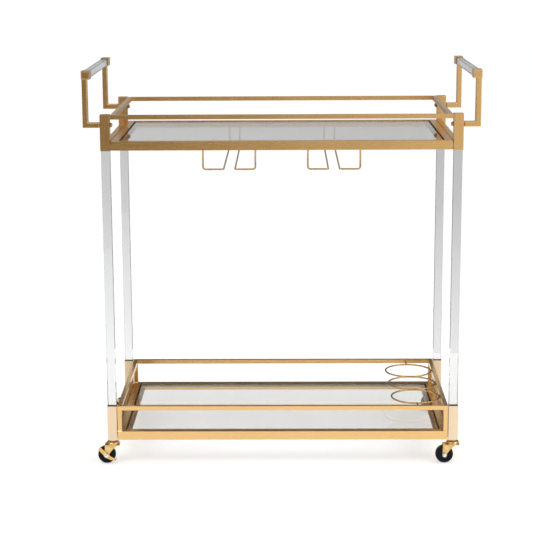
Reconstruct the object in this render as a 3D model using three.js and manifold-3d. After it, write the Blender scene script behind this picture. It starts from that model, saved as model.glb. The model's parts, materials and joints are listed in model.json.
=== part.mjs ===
// A two-shelf bar cart: clear acrylic legs in brass-coloured sleeves, two glass shelves in tube
// frames, guard rails, two carrying handles, wire racks and four swivel casters.
// Millimetres. +X is to the cart's right, the front faces -Y, +Z is up.
// The origin is on the floor, under the middle of the cart.

import * as THREE from "three";
import { mergeVertices } from "three/addons/utils/BufferGeometryUtils.js";
import Module from "manifold-3d";

const wasm = await Module();
wasm.setup();

// ---- Driving dimensions -------------------------------------------------------------------

const GAP = 0.3; // clearance between pieces that touch on the real cart
const OVERLAP = 1; // how far joined solids reach into each other, and cuts past a face

const LEG_X = 402.5; // leg centre, to each side of the middle
const LEG_Y = 205; // leg centre, in front of and behind the middle
const POST = 20; // side of the square acrylic leg
const SLEEVE = 22; // outer side of the square sleeve on each end of a leg
const SLEEVE_LENGTH = 83;
const LOWER_SLEEVE_Z = 58; // underside of the lower sleeves
const UPPER_SLEEVE_Z = 747; // underside of the upper sleeves
const SLEEVE_CAP = 2; // closed top of an upper sleeve
const SLEEVE_PLUG = 20; // plug in the foot of a lower sleeve, drilled for the caster stem

const TRAY_X = 390; // half the outer width of a tray frame
const TRAY_Y = 214; // half the outer depth of a tray frame
const RAIL_WIDTH = 17; // tube of a tray frame, seen from above
const RAIL_HEIGHT = 20.5;
const UPPER_RAIL_Z = 748; // underside of the upper tray frame
const LOWER_RAIL_Z = 58.5; // underside of the lower tray frame
const LEDGE_WIDTH = 15; // flat strip inside the frame that the glass lies on
const LEDGE_THICKNESS = 2;
const GLASS_THICKNESS = 5;
const GLASS_DROP = 1.5; // the glass lies this far below the top of its frame
const GASKET_WIDTH = 2.7;
const GASKET_DROP = 1; // the gasket ends this far below the top of the glass
const PAD_THICKNESS = 1.2; // spacer pads between a frame's corners and the leg sleeves
const PAD_INSET = 4; // distance of a pad's edges from the edges of its tube
const GUARD_PAD_INSET = 2; // the same on the upper guard rail

const SIDE_BAR_WIDTH = 13.5; // bar that joins the front and back sleeves at each end

const GUARD = 10; // square tube of both guard rails
const UPPER_GUARD_Z = 819; // underside of the upper guard rail
const LOWER_GUARD_Z = 131; // underside of the lower guard rail

const HANDLE_REACH = 452.5; // outer face of the handle arms
const SOCKET_LIP = 0.5; // the sockets stand out this far beyond the arms
const HANDLE_Z = 805.8; // centre of the arms' horizontal tubes and of their bolts
const ARM_THICKNESS = 12;
const ARM_DEPTH = 20; // front to back
const GRIP = 16; // side of the square acrylic grip
const SOCKET = 19; // outer side of the sockets that hold the grip
const SOCKET_DEPTH = 40;
const SOCKET_WALL = 4; // closed outer end of a socket
const SOCKET_OUTER_Y = 217; // outer end of the sockets
const SOCKET_TOP = 929; // highest point of the cart

const BOLT_RADIUS = 3;
const BOLT_HEAD_RADIUS = 5.8;
const BOLT_HEAD_HEIGHT = 6;
// Dome of a bolt head: [share of the head's radius, depth below its crown].
const BOLT_DOME = [[0, 0], [0.55, 0.4], [0.9, 2], [1, 3.6]];
const BOLT_GRIP = 15; // length of thread inside a handle arm

const HANGER_WIRE = 4; // diameter of the stemware hangers
const HANGER_DROP = 45; // depth of the hangers below the tray frame
const HANGER_CENTRES = [-120, 120]; // each pair of hangers holds one row of glasses
const HANGER_OUTER = 60; // front leg's distance from the centre of its pair
const HANGER_INNER = 13; // long run's distance from the centre of its pair
const HANGER_BEND = 6;
const BEND_STEPS = 4;

const RING_WIRE = 3.5; // diameter of the bottle rings' wire
const RING_RADIUS = 57.25; // centre line of a bottle ring
const RING_PITCH = 116.5;
const RING_Z = 135.5;

const WHEEL_RADIUS = 21;
const WHEEL_HALF_WIDTH = 8;
const HUB_HALF_WIDTH = 9.2;
const PLAIN_TRAIL = 19; // wheel centre behind the swivel axis, on a plain caster
const BRAKED_TRAIL = 15; // the same on a caster with a brake
const FORK_INNER = 9.5; // inner face of a fork leg, from the middle of the wheel
const FORK_SHEET = 1.8; // pressed sheet of the fork and brake lever
const FORK_TOP_Z = 46.2; // top of the fork's plate
const RACEWAY_RADIUS = 15.5;
const RACEWAY_HEIGHT = 8.1;
const KINGPIN_RADIUS = 4;
const AXLE_RADIUS = 3;
const AXLE_HALF_LENGTH = 18;
const LEVER_REACH = 26; // tip of the brake lever from the axle

// Half of the wheel's section: [radius, distance from its middle plane], from the bore outwards.
const WHEEL_SECTION = [
  [AXLE_RADIUS + GAP, HUB_HALF_WIDTH],
  [7, HUB_HALF_WIDTH],
  [7.5, 5.5],
  [14.5, 5.5],
  [15.5, WHEEL_HALF_WIDTH],
  [WHEEL_RADIUS - 2, WHEEL_HALF_WIDTH],
  [WHEEL_RADIUS, 5.5],
];

// Section of the raceway: [radius, height above the fork's plate].
const RACEWAY_SECTION = [
  [0, -0.5],
  [RACEWAY_RADIUS - 2, -0.5],
  [RACEWAY_RADIUS, 2],
  [RACEWAY_RADIUS, 4],
  [RACEWAY_RADIUS - 2, 6.2],
  [RACEWAY_RADIUS - 6, RACEWAY_HEIGHT],
  [0, RACEWAY_HEIGHT],
];

const AXLE_NUT_RADIUS = 5;
const WASHER_THICKNESS = 1.2;
// Dome of an axle nut: [radius, depth below its crown].
const AXLE_DOME = [[4.2, 1.4], [2.4, 0.2], [0, 0]];

// Brake lever: [radius from the axle, angle from the front, anticlockwise, in degrees].
const SHOE_SPAN = [122, 136, 150];
const PEDAL_SPAN = [327, 337];
const PEDAL_EDGE = -5; // inner edge of the pedal's tab, across the caster
const SHOE_EDGE = -2; // inner edge of the brake shoe
const LEVER_NECK = [[7, 195], [7, 235], [8, 275], [LEVER_REACH - 6, 320]];
const LEVER_BACK = [[LEVER_REACH - 4, 340], [8, 345], [7, 35], [7, 75]];

// ---- Finishes -----------------------------------------------------------------------------

const FINISHES = {
  gold: { color: 0xcda35f, roughness: 0.32, metalness: 1 },
  acrylic: { color: 0xe9edee, roughness: 0.05, metalness: 0 },
  glass: { color: 0xc9cfcd, roughness: 0.04, metalness: 0 },
  rubber: { color: 0x161616, roughness: 0.7, metalness: 0 },
  nylon: { color: 0x1c1c1d, roughness: 0.45, metalness: 0 },
  nickel: { color: 0xd4d6da, roughness: 0.2, metalness: 1 },
};

const cart = new THREE.Group();

function add(name, finish, geometry, parent = cart) {
  const mesh = new THREE.Mesh(geometry, new THREE.MeshStandardMaterial(FINISHES[finish]));
  mesh.name = name;
  parent.add(mesh);
}

// ---- Shapes -------------------------------------------------------------------------------

const WELD_DISTANCE = 1e-3; // corners closer than this are one corner
const ROUND_SIDES = 16;
const WIRE_SIDES = 8;

// A closed surface as a manifold solid, with its corners welded together.
function toSolid(geometry) {
  const loose = geometry.index ? geometry.toNonIndexed() : geometry;
  const bare = new THREE.BufferGeometry();
  bare.setAttribute("position", loose.getAttribute("position"));
  const welded = mergeVertices(bare, WELD_DISTANCE);
  const triVerts = new Uint32Array(welded.index.array);
  const vertProperties = welded.attributes.position.array;
  return new wasm.Manifold(new wasm.Mesh({ numProp: 3, vertProperties, triVerts }));
}

function toGeometry(solid) {
  const { vertProperties, triVerts } = solid.getMesh();
  const geometry = new THREE.BufferGeometry();
  geometry.setAttribute("position", new THREE.Float32BufferAttribute(vertProperties, 3));
  geometry.setIndex(Array.from(triVerts));
  geometry.computeVertexNormals();
  return geometry;
}

// The geometries in solids joined into one, then those in cuts taken away.
function combine(solids, cuts = []) {
  let body = toSolid(solids[0]);
  for (const piece of solids.slice(1)) {
    body = body.add(toSolid(piece));
  }
  for (const cut of cuts) {
    body = body.subtract(toSolid(cut));
  }
  return toGeometry(body);
}

// A box between two values on each axis, given in either order.
function block(x, y, z) {
  const size = (span) => Math.abs(span[1] - span[0]);
  const middle = (span) => (span[0] + span[1]) / 2;
  const geometry = new THREE.BoxGeometry(size(x), size(y), size(z));
  return geometry.translate(middle(x), middle(y), middle(z));
}

// A round bar along "x", "y" or "z" from one value to another, centred on the other two axes.
function bar(axis, radius, from, to, centre, sides = ROUND_SIDES) {
  const geometry = new THREE.CylinderGeometry(radius, radius, to - from, sides);
  geometry.translate(0, (from + to) / 2, 0);
  if (axis === "x") {
    geometry.rotateZ(-Math.PI / 2);
  }
  if (axis === "z") {
    geometry.rotateX(Math.PI / 2);
  }
  return geometry.translate(...centre);
}

// A profile of [radius, height] pairs turned about the Z axis.
function turned(profile, sides) {
  const points = profile.map(([radius, height]) => new THREE.Vector2(radius, height));
  return new THREE.LatheGeometry(points, sides).rotateX(Math.PI / 2);
}

// An outline in the XZ plane, given thickness along Y.
function sheet(outline, y) {
  const depth = y[1] - y[0];
  const geometry = new THREE.ExtrudeGeometry(outline, {
    depth,
    bevelEnabled: false,
    curveSegments: ROUND_SIDES / 2,
  });
  return geometry.rotateX(Math.PI / 2).translate(0, y[1], 0);
}

// A rectangular ring about the middle, with its outer half sizes, the width of its bars and its
// span in height.
function ring(halfX, halfY, width, z) {
  const outer = block([-halfX, halfX], [-halfY, halfY], z);
  const inner = block(
    [width - halfX, halfX - width],
    [width - halfY, halfY - width],
    [z[0] - OVERLAP, z[1] + OVERLAP],
  );
  return combine([outer], [inner]);
}

// A path through straight runs with rounded corners. Its stations are at the ends of the straight
// runs and along the bends, so an extrusion along it puts its steps where the wire bends.
class BentWire extends THREE.Curve {
  constructor(corners, bend, bendSteps) {
    super();
    this.stations = [corners[0]];
    for (let i = 1; i < corners.length - 1; i += 1) {
      const towards = (other) =>
        other.clone().sub(corners[i]).setLength(bend).add(corners[i]);
      const start = towards(corners[i - 1]);
      const end = towards(corners[i + 1]);
      const arc = new THREE.QuadraticBezierCurve3(start, corners[i], end);
      this.stations.push(...arc.getPoints(bendSteps));
    }
    this.stations.push(corners[corners.length - 1]);
  }

  get steps() {
    return this.stations.length - 1;
  }

  getPointAt(u) {
    return this.stations[Math.round(u * this.steps)].clone();
  }

  getTangentAt(u) {
    const i = Math.round(u * this.steps);
    const before = this.stations[Math.max(i - 1, 0)];
    const after = this.stations[Math.min(i + 1, this.steps)];
    return after.clone().sub(before).normalize();
  }
}

function wire(corners, diameter, bend) {
  const path = new BentWire(corners, bend, BEND_STEPS);
  const section = new THREE.Shape().absarc(0, 0, diameter / 2, 0, 2 * Math.PI, false);
  return new THREE.ExtrudeGeometry(section, {
    steps: path.steps,
    extrudePath: path,
    curveSegments: WIRE_SIDES,
  });
}

// ---- Corners ------------------------------------------------------------------------------

const CORNERS = [
  { name: "front_left", sx: -1, sy: -1 },
  { name: "front_right", sx: 1, sy: -1 },
  { name: "back_left", sx: -1, sy: 1 },
  { name: "back_right", sx: 1, sy: 1 },
];

// The span of a square bar of the given side, about a centre.
const about = (centre, side) => [centre - side / 2, centre + side / 2];

// ---- Legs: acrylic posts in metal sleeves ---------------------------------------------------

const BORE = POST + 2 * GAP; // inside of a sleeve
const LOWER_SLEEVE_TOP = LOWER_SLEEVE_Z + SLEEVE_LENGTH;
const UPPER_SLEEVE_TOP = UPPER_SLEEVE_Z + SLEEVE_LENGTH;
const POST_Z = [
  LOWER_SLEEVE_Z + SLEEVE_PLUG + GAP,
  UPPER_SLEEVE_TOP - SLEEVE_CAP - GAP,
];

function boltHole(x, y) {
  return bar("x", BOLT_RADIUS + GAP, x - SLEEVE, x + SLEEVE, [0, y, HANDLE_Z]);
}

for (const { name, sx, sy } of CORNERS) {
  const x = sx * LEG_X;
  const y = sy * LEG_Y;
  const square = (side, z) => block(about(x, side), about(y, side), z);

  add(`leg_post_${name}`, "acrylic", combine([square(POST, POST_Z)], [boltHole(x, y)]));

  const upper = square(SLEEVE, [UPPER_SLEEVE_Z, UPPER_SLEEVE_TOP]);
  const upperBore = square(BORE, [UPPER_SLEEVE_Z - OVERLAP, UPPER_SLEEVE_TOP - SLEEVE_CAP]);
  add(`upper_sleeve_${name}`, "gold", combine([upper], [upperBore, boltHole(x, y)]));

  const lower = square(SLEEVE, [LOWER_SLEEVE_Z, LOWER_SLEEVE_TOP]);
  const plugTop = LOWER_SLEEVE_Z + SLEEVE_PLUG;
  const lowerBore = square(BORE, [plugTop, LOWER_SLEEVE_TOP + OVERLAP]);
  const stemHole = bar(
    "z",
    KINGPIN_RADIUS + GAP,
    LOWER_SLEEVE_Z - OVERLAP,
    plugTop + OVERLAP,
    [x, y, 0],
  );
  add(`lower_sleeve_${name}`, "gold", combine([lower], [lowerBore, stemHole]));
}

// ---- Side bars: each joins a front sleeve to a back sleeve ----------------------------------

const LEG_INNER_X = LEG_X - SLEEVE / 2;
const SIDE_BAR_END = LEG_Y - SLEEVE / 2 - GAP;

for (const [side, sx] of [["left", -1], ["right", 1]]) {
  for (const [level, z] of [["upper", UPPER_RAIL_Z], ["lower", LOWER_RAIL_Z]]) {
    const x = [sx * LEG_INNER_X, sx * (LEG_INNER_X + SIDE_BAR_WIDTH)];
    const piece = block(x, [-SIDE_BAR_END, SIDE_BAR_END], [z, z + RAIL_HEIGHT]);
    add(`${level}_side_bar_${side}`, "gold", piece);
  }
}

// ---- Trays: tube frame, ledge inside it, gasket and glass -------------------------------------

// Spacer pads on the outer ends of a frame, which close the gap to the leg sleeves.
function cornerPads(width, inset, z) {
  return CORNERS.map(({ sx, sy }) =>
    block(
      [sx * (TRAY_X - OVERLAP), sx * (TRAY_X + PAD_THICKNESS)],
      [sy * (TRAY_Y - width + inset / 2), sy * (TRAY_Y - inset)],
      [z[0] + inset, z[1] - inset],
    ),
  );
}

for (const [level, z] of [["upper", UPPER_RAIL_Z], ["lower", LOWER_RAIL_Z]]) {
  const top = z + RAIL_HEIGHT;
  const glassTop = top - GLASS_DROP;
  const glassBottom = glassTop - GLASS_THICKNESS;
  const ledgeTop = glassBottom - GAP;
  const innerX = TRAY_X - RAIL_WIDTH;
  const innerY = TRAY_Y - RAIL_WIDTH;

  const rails = ring(TRAY_X, TRAY_Y, RAIL_WIDTH, [z, top]);
  const pads = cornerPads(RAIL_WIDTH, PAD_INSET, [z, top]);
  add(`${level}_tray_frame`, "gold", combine([rails, ...pads]));

  const ledgeSpan = [ledgeTop - LEDGE_THICKNESS, ledgeTop];
  const ledge = ring(innerX - GAP, innerY - GAP, LEDGE_WIDTH - GAP, ledgeSpan);
  add(`${level}_glass_ledge`, "gold", ledge);

  const gasketX = innerX - GAP;
  const gasketY = innerY - GAP;
  const gasketSpan = [glassBottom, glassTop - GASKET_DROP];
  const gasket = ring(gasketX, gasketY, GASKET_WIDTH, gasketSpan);
  add(`${level}_glass_gasket`, "rubber", gasket);

  const glassX = gasketX - GASKET_WIDTH - GAP;
  const glassY = gasketY - GASKET_WIDTH - GAP;
  const glass = block([-glassX, glassX], [-glassY, glassY], [glassBottom, glassTop]);
  add(`${level}_glass_shelf`, "glass", glass);
}

// ---- Guard rails ----------------------------------------------------------------------------

const UPPER_GUARD_SPAN = [UPPER_GUARD_Z, UPPER_GUARD_Z + GUARD];
const LOWER_GUARD_SPAN = [LOWER_GUARD_Z, LOWER_GUARD_Z + GUARD];
const upperGuard = ring(TRAY_X, TRAY_Y, GUARD, UPPER_GUARD_SPAN);
const guardPads = cornerPads(GUARD, GUARD_PAD_INSET, UPPER_GUARD_SPAN);
add("upper_guard_rail", "gold", combine([upperGuard, ...guardPads]));

const uprights = CORNERS.map(({ sx, sy }) =>
  block(
    [sx * (TRAY_X - GUARD), sx * TRAY_X],
    [sy * (TRAY_Y - GUARD), sy * TRAY_Y],
    [LOWER_RAIL_Z + RAIL_HEIGHT + GAP, LOWER_GUARD_Z + OVERLAP],
  ),
);
const lowerGuard = ring(TRAY_X, TRAY_Y, GUARD, LOWER_GUARD_SPAN);
add("lower_guard_rail", "gold", combine([lowerGuard, ...uprights]));

// ---- Handles: bent arms with sockets, an acrylic grip between them, and their bolts -----------

const SOCKET_X = [HANDLE_REACH + SOCKET_LIP - SOCKET, HANDLE_REACH + SOCKET_LIP];
const SOCKET_CENTRE_X = (SOCKET_X[0] + SOCKET_X[1]) / 2;
const SOCKET_Z = [SOCKET_TOP - SOCKET, SOCKET_TOP];
const SOCKET_CENTRE_Z = SOCKET_TOP - SOCKET / 2;
const LEG_OUTER_X = LEG_X + SLEEVE / 2;

for (const { name, sx, sy } of CORNERS) {
  const y = sy * LEG_Y;
  const armY = about(y, ARM_DEPTH);
  const armZ = about(HANDLE_Z, ARM_THICKNESS);
  const foot = block([sx * (LEG_OUTER_X + GAP), sx * HANDLE_REACH], armY, armZ);
  const riser = block(
    [sx * (HANDLE_REACH - ARM_THICKNESS), sx * HANDLE_REACH],
    armY,
    [armZ[0], SOCKET_Z[0] + OVERLAP],
  );
  const mouthY = sy * (SOCKET_OUTER_Y - SOCKET_DEPTH);
  const socket = block(
    [sx * SOCKET_X[0], sx * SOCKET_X[1]],
    [sy * SOCKET_OUTER_Y, mouthY],
    SOCKET_Z,
  );
  const pocket = block(
    about(sx * SOCKET_CENTRE_X, GRIP + 2 * GAP),
    [sy * (SOCKET_OUTER_Y - SOCKET_WALL), mouthY - sy],
    about(SOCKET_CENTRE_Z, GRIP + 2 * GAP),
  );
  const threadEnd = LEG_OUTER_X + GAP + BOLT_GRIP;
  const thread = bar(
    "x",
    BOLT_RADIUS + GAP,
    Math.min(sx * LEG_OUTER_X, sx * (threadEnd + GAP)),
    Math.max(sx * LEG_OUTER_X, sx * (threadEnd + GAP)),
    [0, y, HANDLE_Z],
  );
  add(`handle_arm_${name}`, "gold", combine([foot, riser, socket], [pocket, thread]));

  // The bolt's domed head lies on the inner face of the sleeve, and its thread ends in the arm.
  const headFace = LEG_INNER_X - GAP;
  const crown = headFace - BOLT_HEAD_HEIGHT;
  const bolt = turned(
    [
      ...BOLT_DOME.map(([share, depth]) => [BOLT_HEAD_RADIUS * share, crown + depth]),
      [BOLT_HEAD_RADIUS, headFace],
      [BOLT_RADIUS, headFace],
      [BOLT_RADIUS, threadEnd],
      [0, threadEnd],
    ],
    ROUND_SIDES,
  );
  bolt.rotateY((sx * Math.PI) / 2).translate(0, y, HANDLE_Z);
  add(`handle_bolt_${name}`, "gold", bolt);
}

const GRIP_END = SOCKET_OUTER_Y - SOCKET_WALL - GAP;
for (const [side, sx] of [["left", -1], ["right", 1]]) {
  const across = about(sx * SOCKET_CENTRE_X, GRIP);
  const grip = block(across, [-GRIP_END, GRIP_END], about(SOCKET_CENTRE_Z, GRIP));
  add(`handle_grip_${side}`, "acrylic", grip);
}

// ---- Stemware hangers under the upper tray ----------------------------------------------------

// Each wire drops from the front rail, turns in towards its partner, runs to the back and rises
// to the back rail. A glass foot slides in between the long runs of a pair.
const HANGER_TOP = UPPER_RAIL_Z - GAP;
const HANGER_LOW = UPPER_RAIL_Z - HANGER_DROP;
let hangerNumber = 0;
for (const centre of HANGER_CENTRES) {
  for (const side of [-1, 1]) {
    hangerNumber += 1;
    const outer = centre + side * HANGER_OUTER;
    const inner = centre + side * HANGER_INNER;
    const corners = [
      new THREE.Vector3(outer, -LEG_Y, HANGER_TOP),
      new THREE.Vector3(outer, -LEG_Y, HANGER_LOW),
      new THREE.Vector3(inner, -LEG_Y, HANGER_LOW),
      new THREE.Vector3(inner, LEG_Y, HANGER_LOW),
      new THREE.Vector3(inner, LEG_Y, HANGER_TOP),
    ];
    add(`stem_hanger_${hangerNumber}`, "gold", wire(corners, HANGER_WIRE, HANGER_BEND));
  }
}

// ---- Bottle rings on the lower tray -------------------------------------------------------------

const RING_SIDES = 40;
const RING_X = TRAY_X - GUARD - GAP - RING_RADIUS - RING_WIRE / 2;
const hoops = [-1, 0, 1].map((step) =>
  new THREE.TorusGeometry(RING_RADIUS, RING_WIRE / 2, WIRE_SIDES, RING_SIDES).translate(
    RING_X,
    step * RING_PITCH,
    RING_Z,
  ),
);
const RING_ROW_END = RING_PITCH + RING_RADIUS;
const GUARD_INNER_Y = TRAY_Y - GUARD - GAP;
const ringTabs = [-1, 1].map((sy) =>
  bar(
    "y",
    RING_WIRE / 2,
    Math.min(sy * RING_ROW_END, sy * GUARD_INNER_Y),
    Math.max(sy * RING_ROW_END, sy * GUARD_INNER_Y),
    [RING_X, 0, RING_Z],
    WIRE_SIDES,
  ),
);
add("bottle_ring_rack", "gold", combine([...hoops, ...ringTabs]));

// ---- Casters ------------------------------------------------------------------------------------

const AXLE_Z = WHEEL_RADIUS;
const FORK_OUTER = FORK_INNER + FORK_SHEET;
const FORK_PLATE_Z = [FORK_TOP_Z - FORK_SHEET, FORK_TOP_Z];
const FORK_BOSS = 5.5; // rounding of a fork leg about the axle
const FORK_LEAD = 11; // top of a fork leg, in front of the swivel axis
const FORK_TAIL = 4.7; // top of a fork leg, behind the axle
const PLATE_LEAD = 16; // front end of the fork's plate, from the swivel axis
const RIVET_RADIUS = 6.5;
const RIVET_HEIGHT = 2;
const NUT_RADIUS = 7.5; // nut that locks the stem under the sleeve
const STEM_RECESS = 2; // the stem's thread ends this far below the top of the plug
const WHEEL_SIDES = 32;
const RACEWAY_SIDES = 28;

// Fixed to the lower sleeve: thread, lock nut, and the kingpin that the fork turns on.
function casterStem() {
  const nutTop = LOWER_SLEEVE_Z - GAP;
  const nutBottom = FORK_TOP_Z + RACEWAY_HEIGHT + GAP;
  const rivetTop = FORK_PLATE_Z[0] - GAP;
  const threadTop = LOWER_SLEEVE_Z + SLEEVE_PLUG - STEM_RECESS;
  return turned(
    [
      [0, rivetTop - RIVET_HEIGHT],
      [RIVET_RADIUS, rivetTop - RIVET_HEIGHT],
      [RIVET_RADIUS, rivetTop],
      [KINGPIN_RADIUS, rivetTop],
      [KINGPIN_RADIUS, nutBottom],
      [NUT_RADIUS, nutBottom],
      [NUT_RADIUS, nutTop],
      [KINGPIN_RADIUS, nutTop],
      [KINGPIN_RADIUS, threadTop],
      [0, threadTop],
    ],
    ROUND_SIDES,
  );
}

// Pressed fork under a ball raceway. The wheel hangs behind the swivel axis by the trail.
function casterFork(trail) {
  const z = FORK_TOP_Z;
  const section = RACEWAY_SECTION.map(([radius, height]) => [radius, z + height]);
  const raceway = turned(section, RACEWAY_SIDES);
  const plate = block([-trail - FORK_TAIL, PLATE_LEAD], [-FORK_OUTER, FORK_OUTER], FORK_PLATE_Z);
  const leg = new THREE.Shape();
  leg.moveTo(-trail - FORK_BOSS, AXLE_Z);
  leg.absarc(-trail, AXLE_Z, FORK_BOSS, Math.PI, 1.75 * Math.PI, false);
  leg.lineTo(FORK_LEAD, FORK_PLATE_Z[0] - OVERLAP);
  leg.lineTo(FORK_LEAD, FORK_PLATE_Z[1]);
  leg.lineTo(-trail - FORK_TAIL, FORK_PLATE_Z[1]);
  const legs = [sheet(leg, [FORK_INNER, FORK_OUTER]), sheet(leg, [-FORK_OUTER, -FORK_INNER])];
  const hole = [FORK_PLATE_Z[0] - RACEWAY_HEIGHT, z + 2 * RACEWAY_HEIGHT];
  const kingpinHole = bar("z", KINGPIN_RADIUS + GAP, ...hole, [0, 0, 0]);
  const axleHole = bar("y", AXLE_RADIUS + GAP, -2 * FORK_OUTER, 2 * FORK_OUTER, [
    -trail,
    0,
    AXLE_Z,
  ]);
  return combine([plate, ...legs, raceway], [kingpinHole, axleHole]);
}

// Tyre and hub in one moulding, with dished sides and a bore for the axle.
function casterWheel(trail) {
  const mirrored = WHEEL_SECTION.map(([radius, y]) => [radius, -y]);
  const profile = [...mirrored, ...WHEEL_SECTION.toReversed(), mirrored[0]];
  return turned(profile, WHEEL_SIDES)
    .rotateX(-Math.PI / 2)
    .translate(-trail, 0, AXLE_Z);
}

// Axle with a domed nut on each end. A washer fills the place of the brake lever where there is
// none.
function casterAxle(trail, frontWasher) {
  const leverSpace = FORK_OUTER + 2 * GAP + FORK_SHEET;
  const end = (washer) => [
    [AXLE_RADIUS, washer ? FORK_OUTER + GAP : leverSpace],
    [AXLE_NUT_RADIUS, washer ? FORK_OUTER + GAP : leverSpace],
    [AXLE_NUT_RADIUS, leverSpace + WASHER_THICKNESS],
    ...AXLE_DOME.map(([radius, depth]) => [radius, AXLE_HALF_LENGTH - depth]),
  ];
  const front = end(frontWasher).map(([radius, y]) => [radius, -y]);
  const profile = [...front.reverse(), ...end(true)];
  return turned(profile, ROUND_SIDES)
    .rotateX(-Math.PI / 2)
    .translate(-trail, 0, AXLE_Z);
}

// An outline through points given as [radius, degrees] about the axle.
function polarShape(points) {
  const corners = points.map(([radius, degrees]) => {
    const turn = THREE.MathUtils.degToRad(degrees);
    return new THREE.Vector2(radius * Math.cos(turn), radius * Math.sin(turn));
  });
  return new THREE.Shape(corners);
}

// Foot lever that turns on the axle, outside the front fork leg: an eye, a pedal arm that points
// forwards and down, and a wing that carries the brake shoe over the tread.
function brakeLever(trail) {
  const face = [-FORK_OUTER - GAP - FORK_SHEET, -FORK_OUTER - GAP];
  const shoeIn = WHEEL_RADIUS + OVERLAP;
  const shoeOut = shoeIn + FORK_SHEET;
  const outline = polarShape([
    ...SHOE_SPAN.map((degrees) => [shoeOut, degrees]),
    ...LEVER_NECK,
    ...PEDAL_SPAN.map((degrees) => [LEVER_REACH, degrees]),
    ...LEVER_BACK,
  ]);
  const shoe = polarShape([
    ...SHOE_SPAN.map((degrees) => [shoeOut, degrees]),
    ...SHOE_SPAN.toReversed().map((degrees) => [shoeIn, degrees]),
  ]);
  const pedal = polarShape([
    ...PEDAL_SPAN.map((degrees) => [LEVER_REACH, degrees]),
    ...PEDAL_SPAN.toReversed().map((degrees) => [LEVER_REACH - FORK_SHEET, degrees]),
  ]);
  const eye = bar("y", AXLE_RADIUS + GAP, 2 * face[0], 0, [0, 0, 0]);
  const lever = combine(
    [
      sheet(outline, face),
      sheet(shoe, [face[0], SHOE_EDGE]),
      sheet(pedal, [face[0], PEDAL_EDGE]),
    ],
    [eye],
  );
  return lever.translate(-trail, 0, AXLE_Z);
}

for (const { name, sx, sy } of CORNERS) {
  const braked = sx < 0;
  const trail = braked ? BRAKED_TRAIL : PLAIN_TRAIL;
  const caster = new THREE.Group();
  caster.position.set(sx * LEG_X, sy * LEG_Y, 0);
  cart.add(caster);
  add(`caster_stem_${name}`, "nickel", casterStem(), caster);
  add(`caster_fork_${name}`, "gold", casterFork(trail), caster);
  add(`caster_axle_${name}`, "nickel", casterAxle(trail, !braked), caster);
  add(`caster_wheel_${name}`, "nylon", casterWheel(trail), caster);
  if (braked) {
    add(`brake_lever_${name}`, "gold", brakeLever(trail), caster);
  }
}

export default cart;
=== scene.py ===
"""A two-shelf bar cart on casters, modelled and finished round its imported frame.

Metres throughout, in the frame's own axes: +X to the cart's right, the front towards -Y, +Z up.
"""

import json
import logging
import math
from collections.abc import Callable, Sequence
from dataclasses import dataclass
from enum import Enum
from typing import Self

import bmesh
import bpy
from mathutils import Matrix, Vector

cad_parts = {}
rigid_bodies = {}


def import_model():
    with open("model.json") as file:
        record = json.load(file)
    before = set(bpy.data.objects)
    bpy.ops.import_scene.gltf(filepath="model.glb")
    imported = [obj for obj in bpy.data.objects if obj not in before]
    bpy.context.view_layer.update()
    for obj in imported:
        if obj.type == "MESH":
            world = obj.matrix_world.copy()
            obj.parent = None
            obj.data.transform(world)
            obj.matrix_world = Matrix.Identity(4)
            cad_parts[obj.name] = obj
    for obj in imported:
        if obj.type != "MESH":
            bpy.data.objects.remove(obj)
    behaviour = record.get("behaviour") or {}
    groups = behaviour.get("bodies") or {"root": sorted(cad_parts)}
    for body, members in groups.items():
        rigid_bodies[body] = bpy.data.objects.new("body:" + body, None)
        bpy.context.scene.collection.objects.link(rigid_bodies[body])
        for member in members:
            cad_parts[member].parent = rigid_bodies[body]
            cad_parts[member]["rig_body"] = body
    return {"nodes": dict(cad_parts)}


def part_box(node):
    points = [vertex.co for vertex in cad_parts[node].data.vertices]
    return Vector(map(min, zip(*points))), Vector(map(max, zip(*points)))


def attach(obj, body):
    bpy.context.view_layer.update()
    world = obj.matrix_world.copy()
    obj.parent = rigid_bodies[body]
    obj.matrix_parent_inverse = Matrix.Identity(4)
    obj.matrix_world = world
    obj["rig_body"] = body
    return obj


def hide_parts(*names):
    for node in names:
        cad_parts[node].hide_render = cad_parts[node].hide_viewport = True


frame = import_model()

LOG = logging.getLogger("bar_cart")
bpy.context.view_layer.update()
MM = 0.001
SIDES = ("left", "right")
SPACER_STEP = Vector((1.2 * MM, 0, 0))  # how far a rail's spacers stand out past each of its ends
MITRE_SCORE = 0.25 * MM
MITRE_DEPTH = 0.09 * MM
SAME_PLACE = 0.01 * MM
FACING = 0.9  # least share of a normal along a direction, for its face to look that way
SHARP = math.radians(28)
WIRE_SIDES = 12
WIRE_SMOOTH = 60.0
OVERLAP = 0.2 * MM  # how far shapes that are joined run into one another

Point = Sequence[float]
Colour = tuple[float, float, float]
FaceTest = Callable[[Vector, Vector], bool]
FaceRule = Callable[[Vector, Vector], int]
EdgeTest = Callable[[Vector, Vector], bool]
VertTest = Callable[[Vector], bool]


class Axis(Enum):
    """One of the frame's three directions."""

    X = 0
    Y = 1
    Z = 2

    @property
    def unit(self) -> Vector:
        """The direction as a unit vector."""
        return Vector(1.0 if i == self.value else 0.0 for i in range(3))


class Slot(Enum):
    """The record's material slots."""

    GOLD = "brushed_gold"
    CASTER_GOLD = "caster_gold"
    ACRYLIC = "acrylic"
    GLASS = "shelf_glass"
    GASKET = "gasket"
    BOLT = "bolt_metal"
    BRIGHT = "bright_metal"
    WHEEL = "wheel_black"


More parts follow.
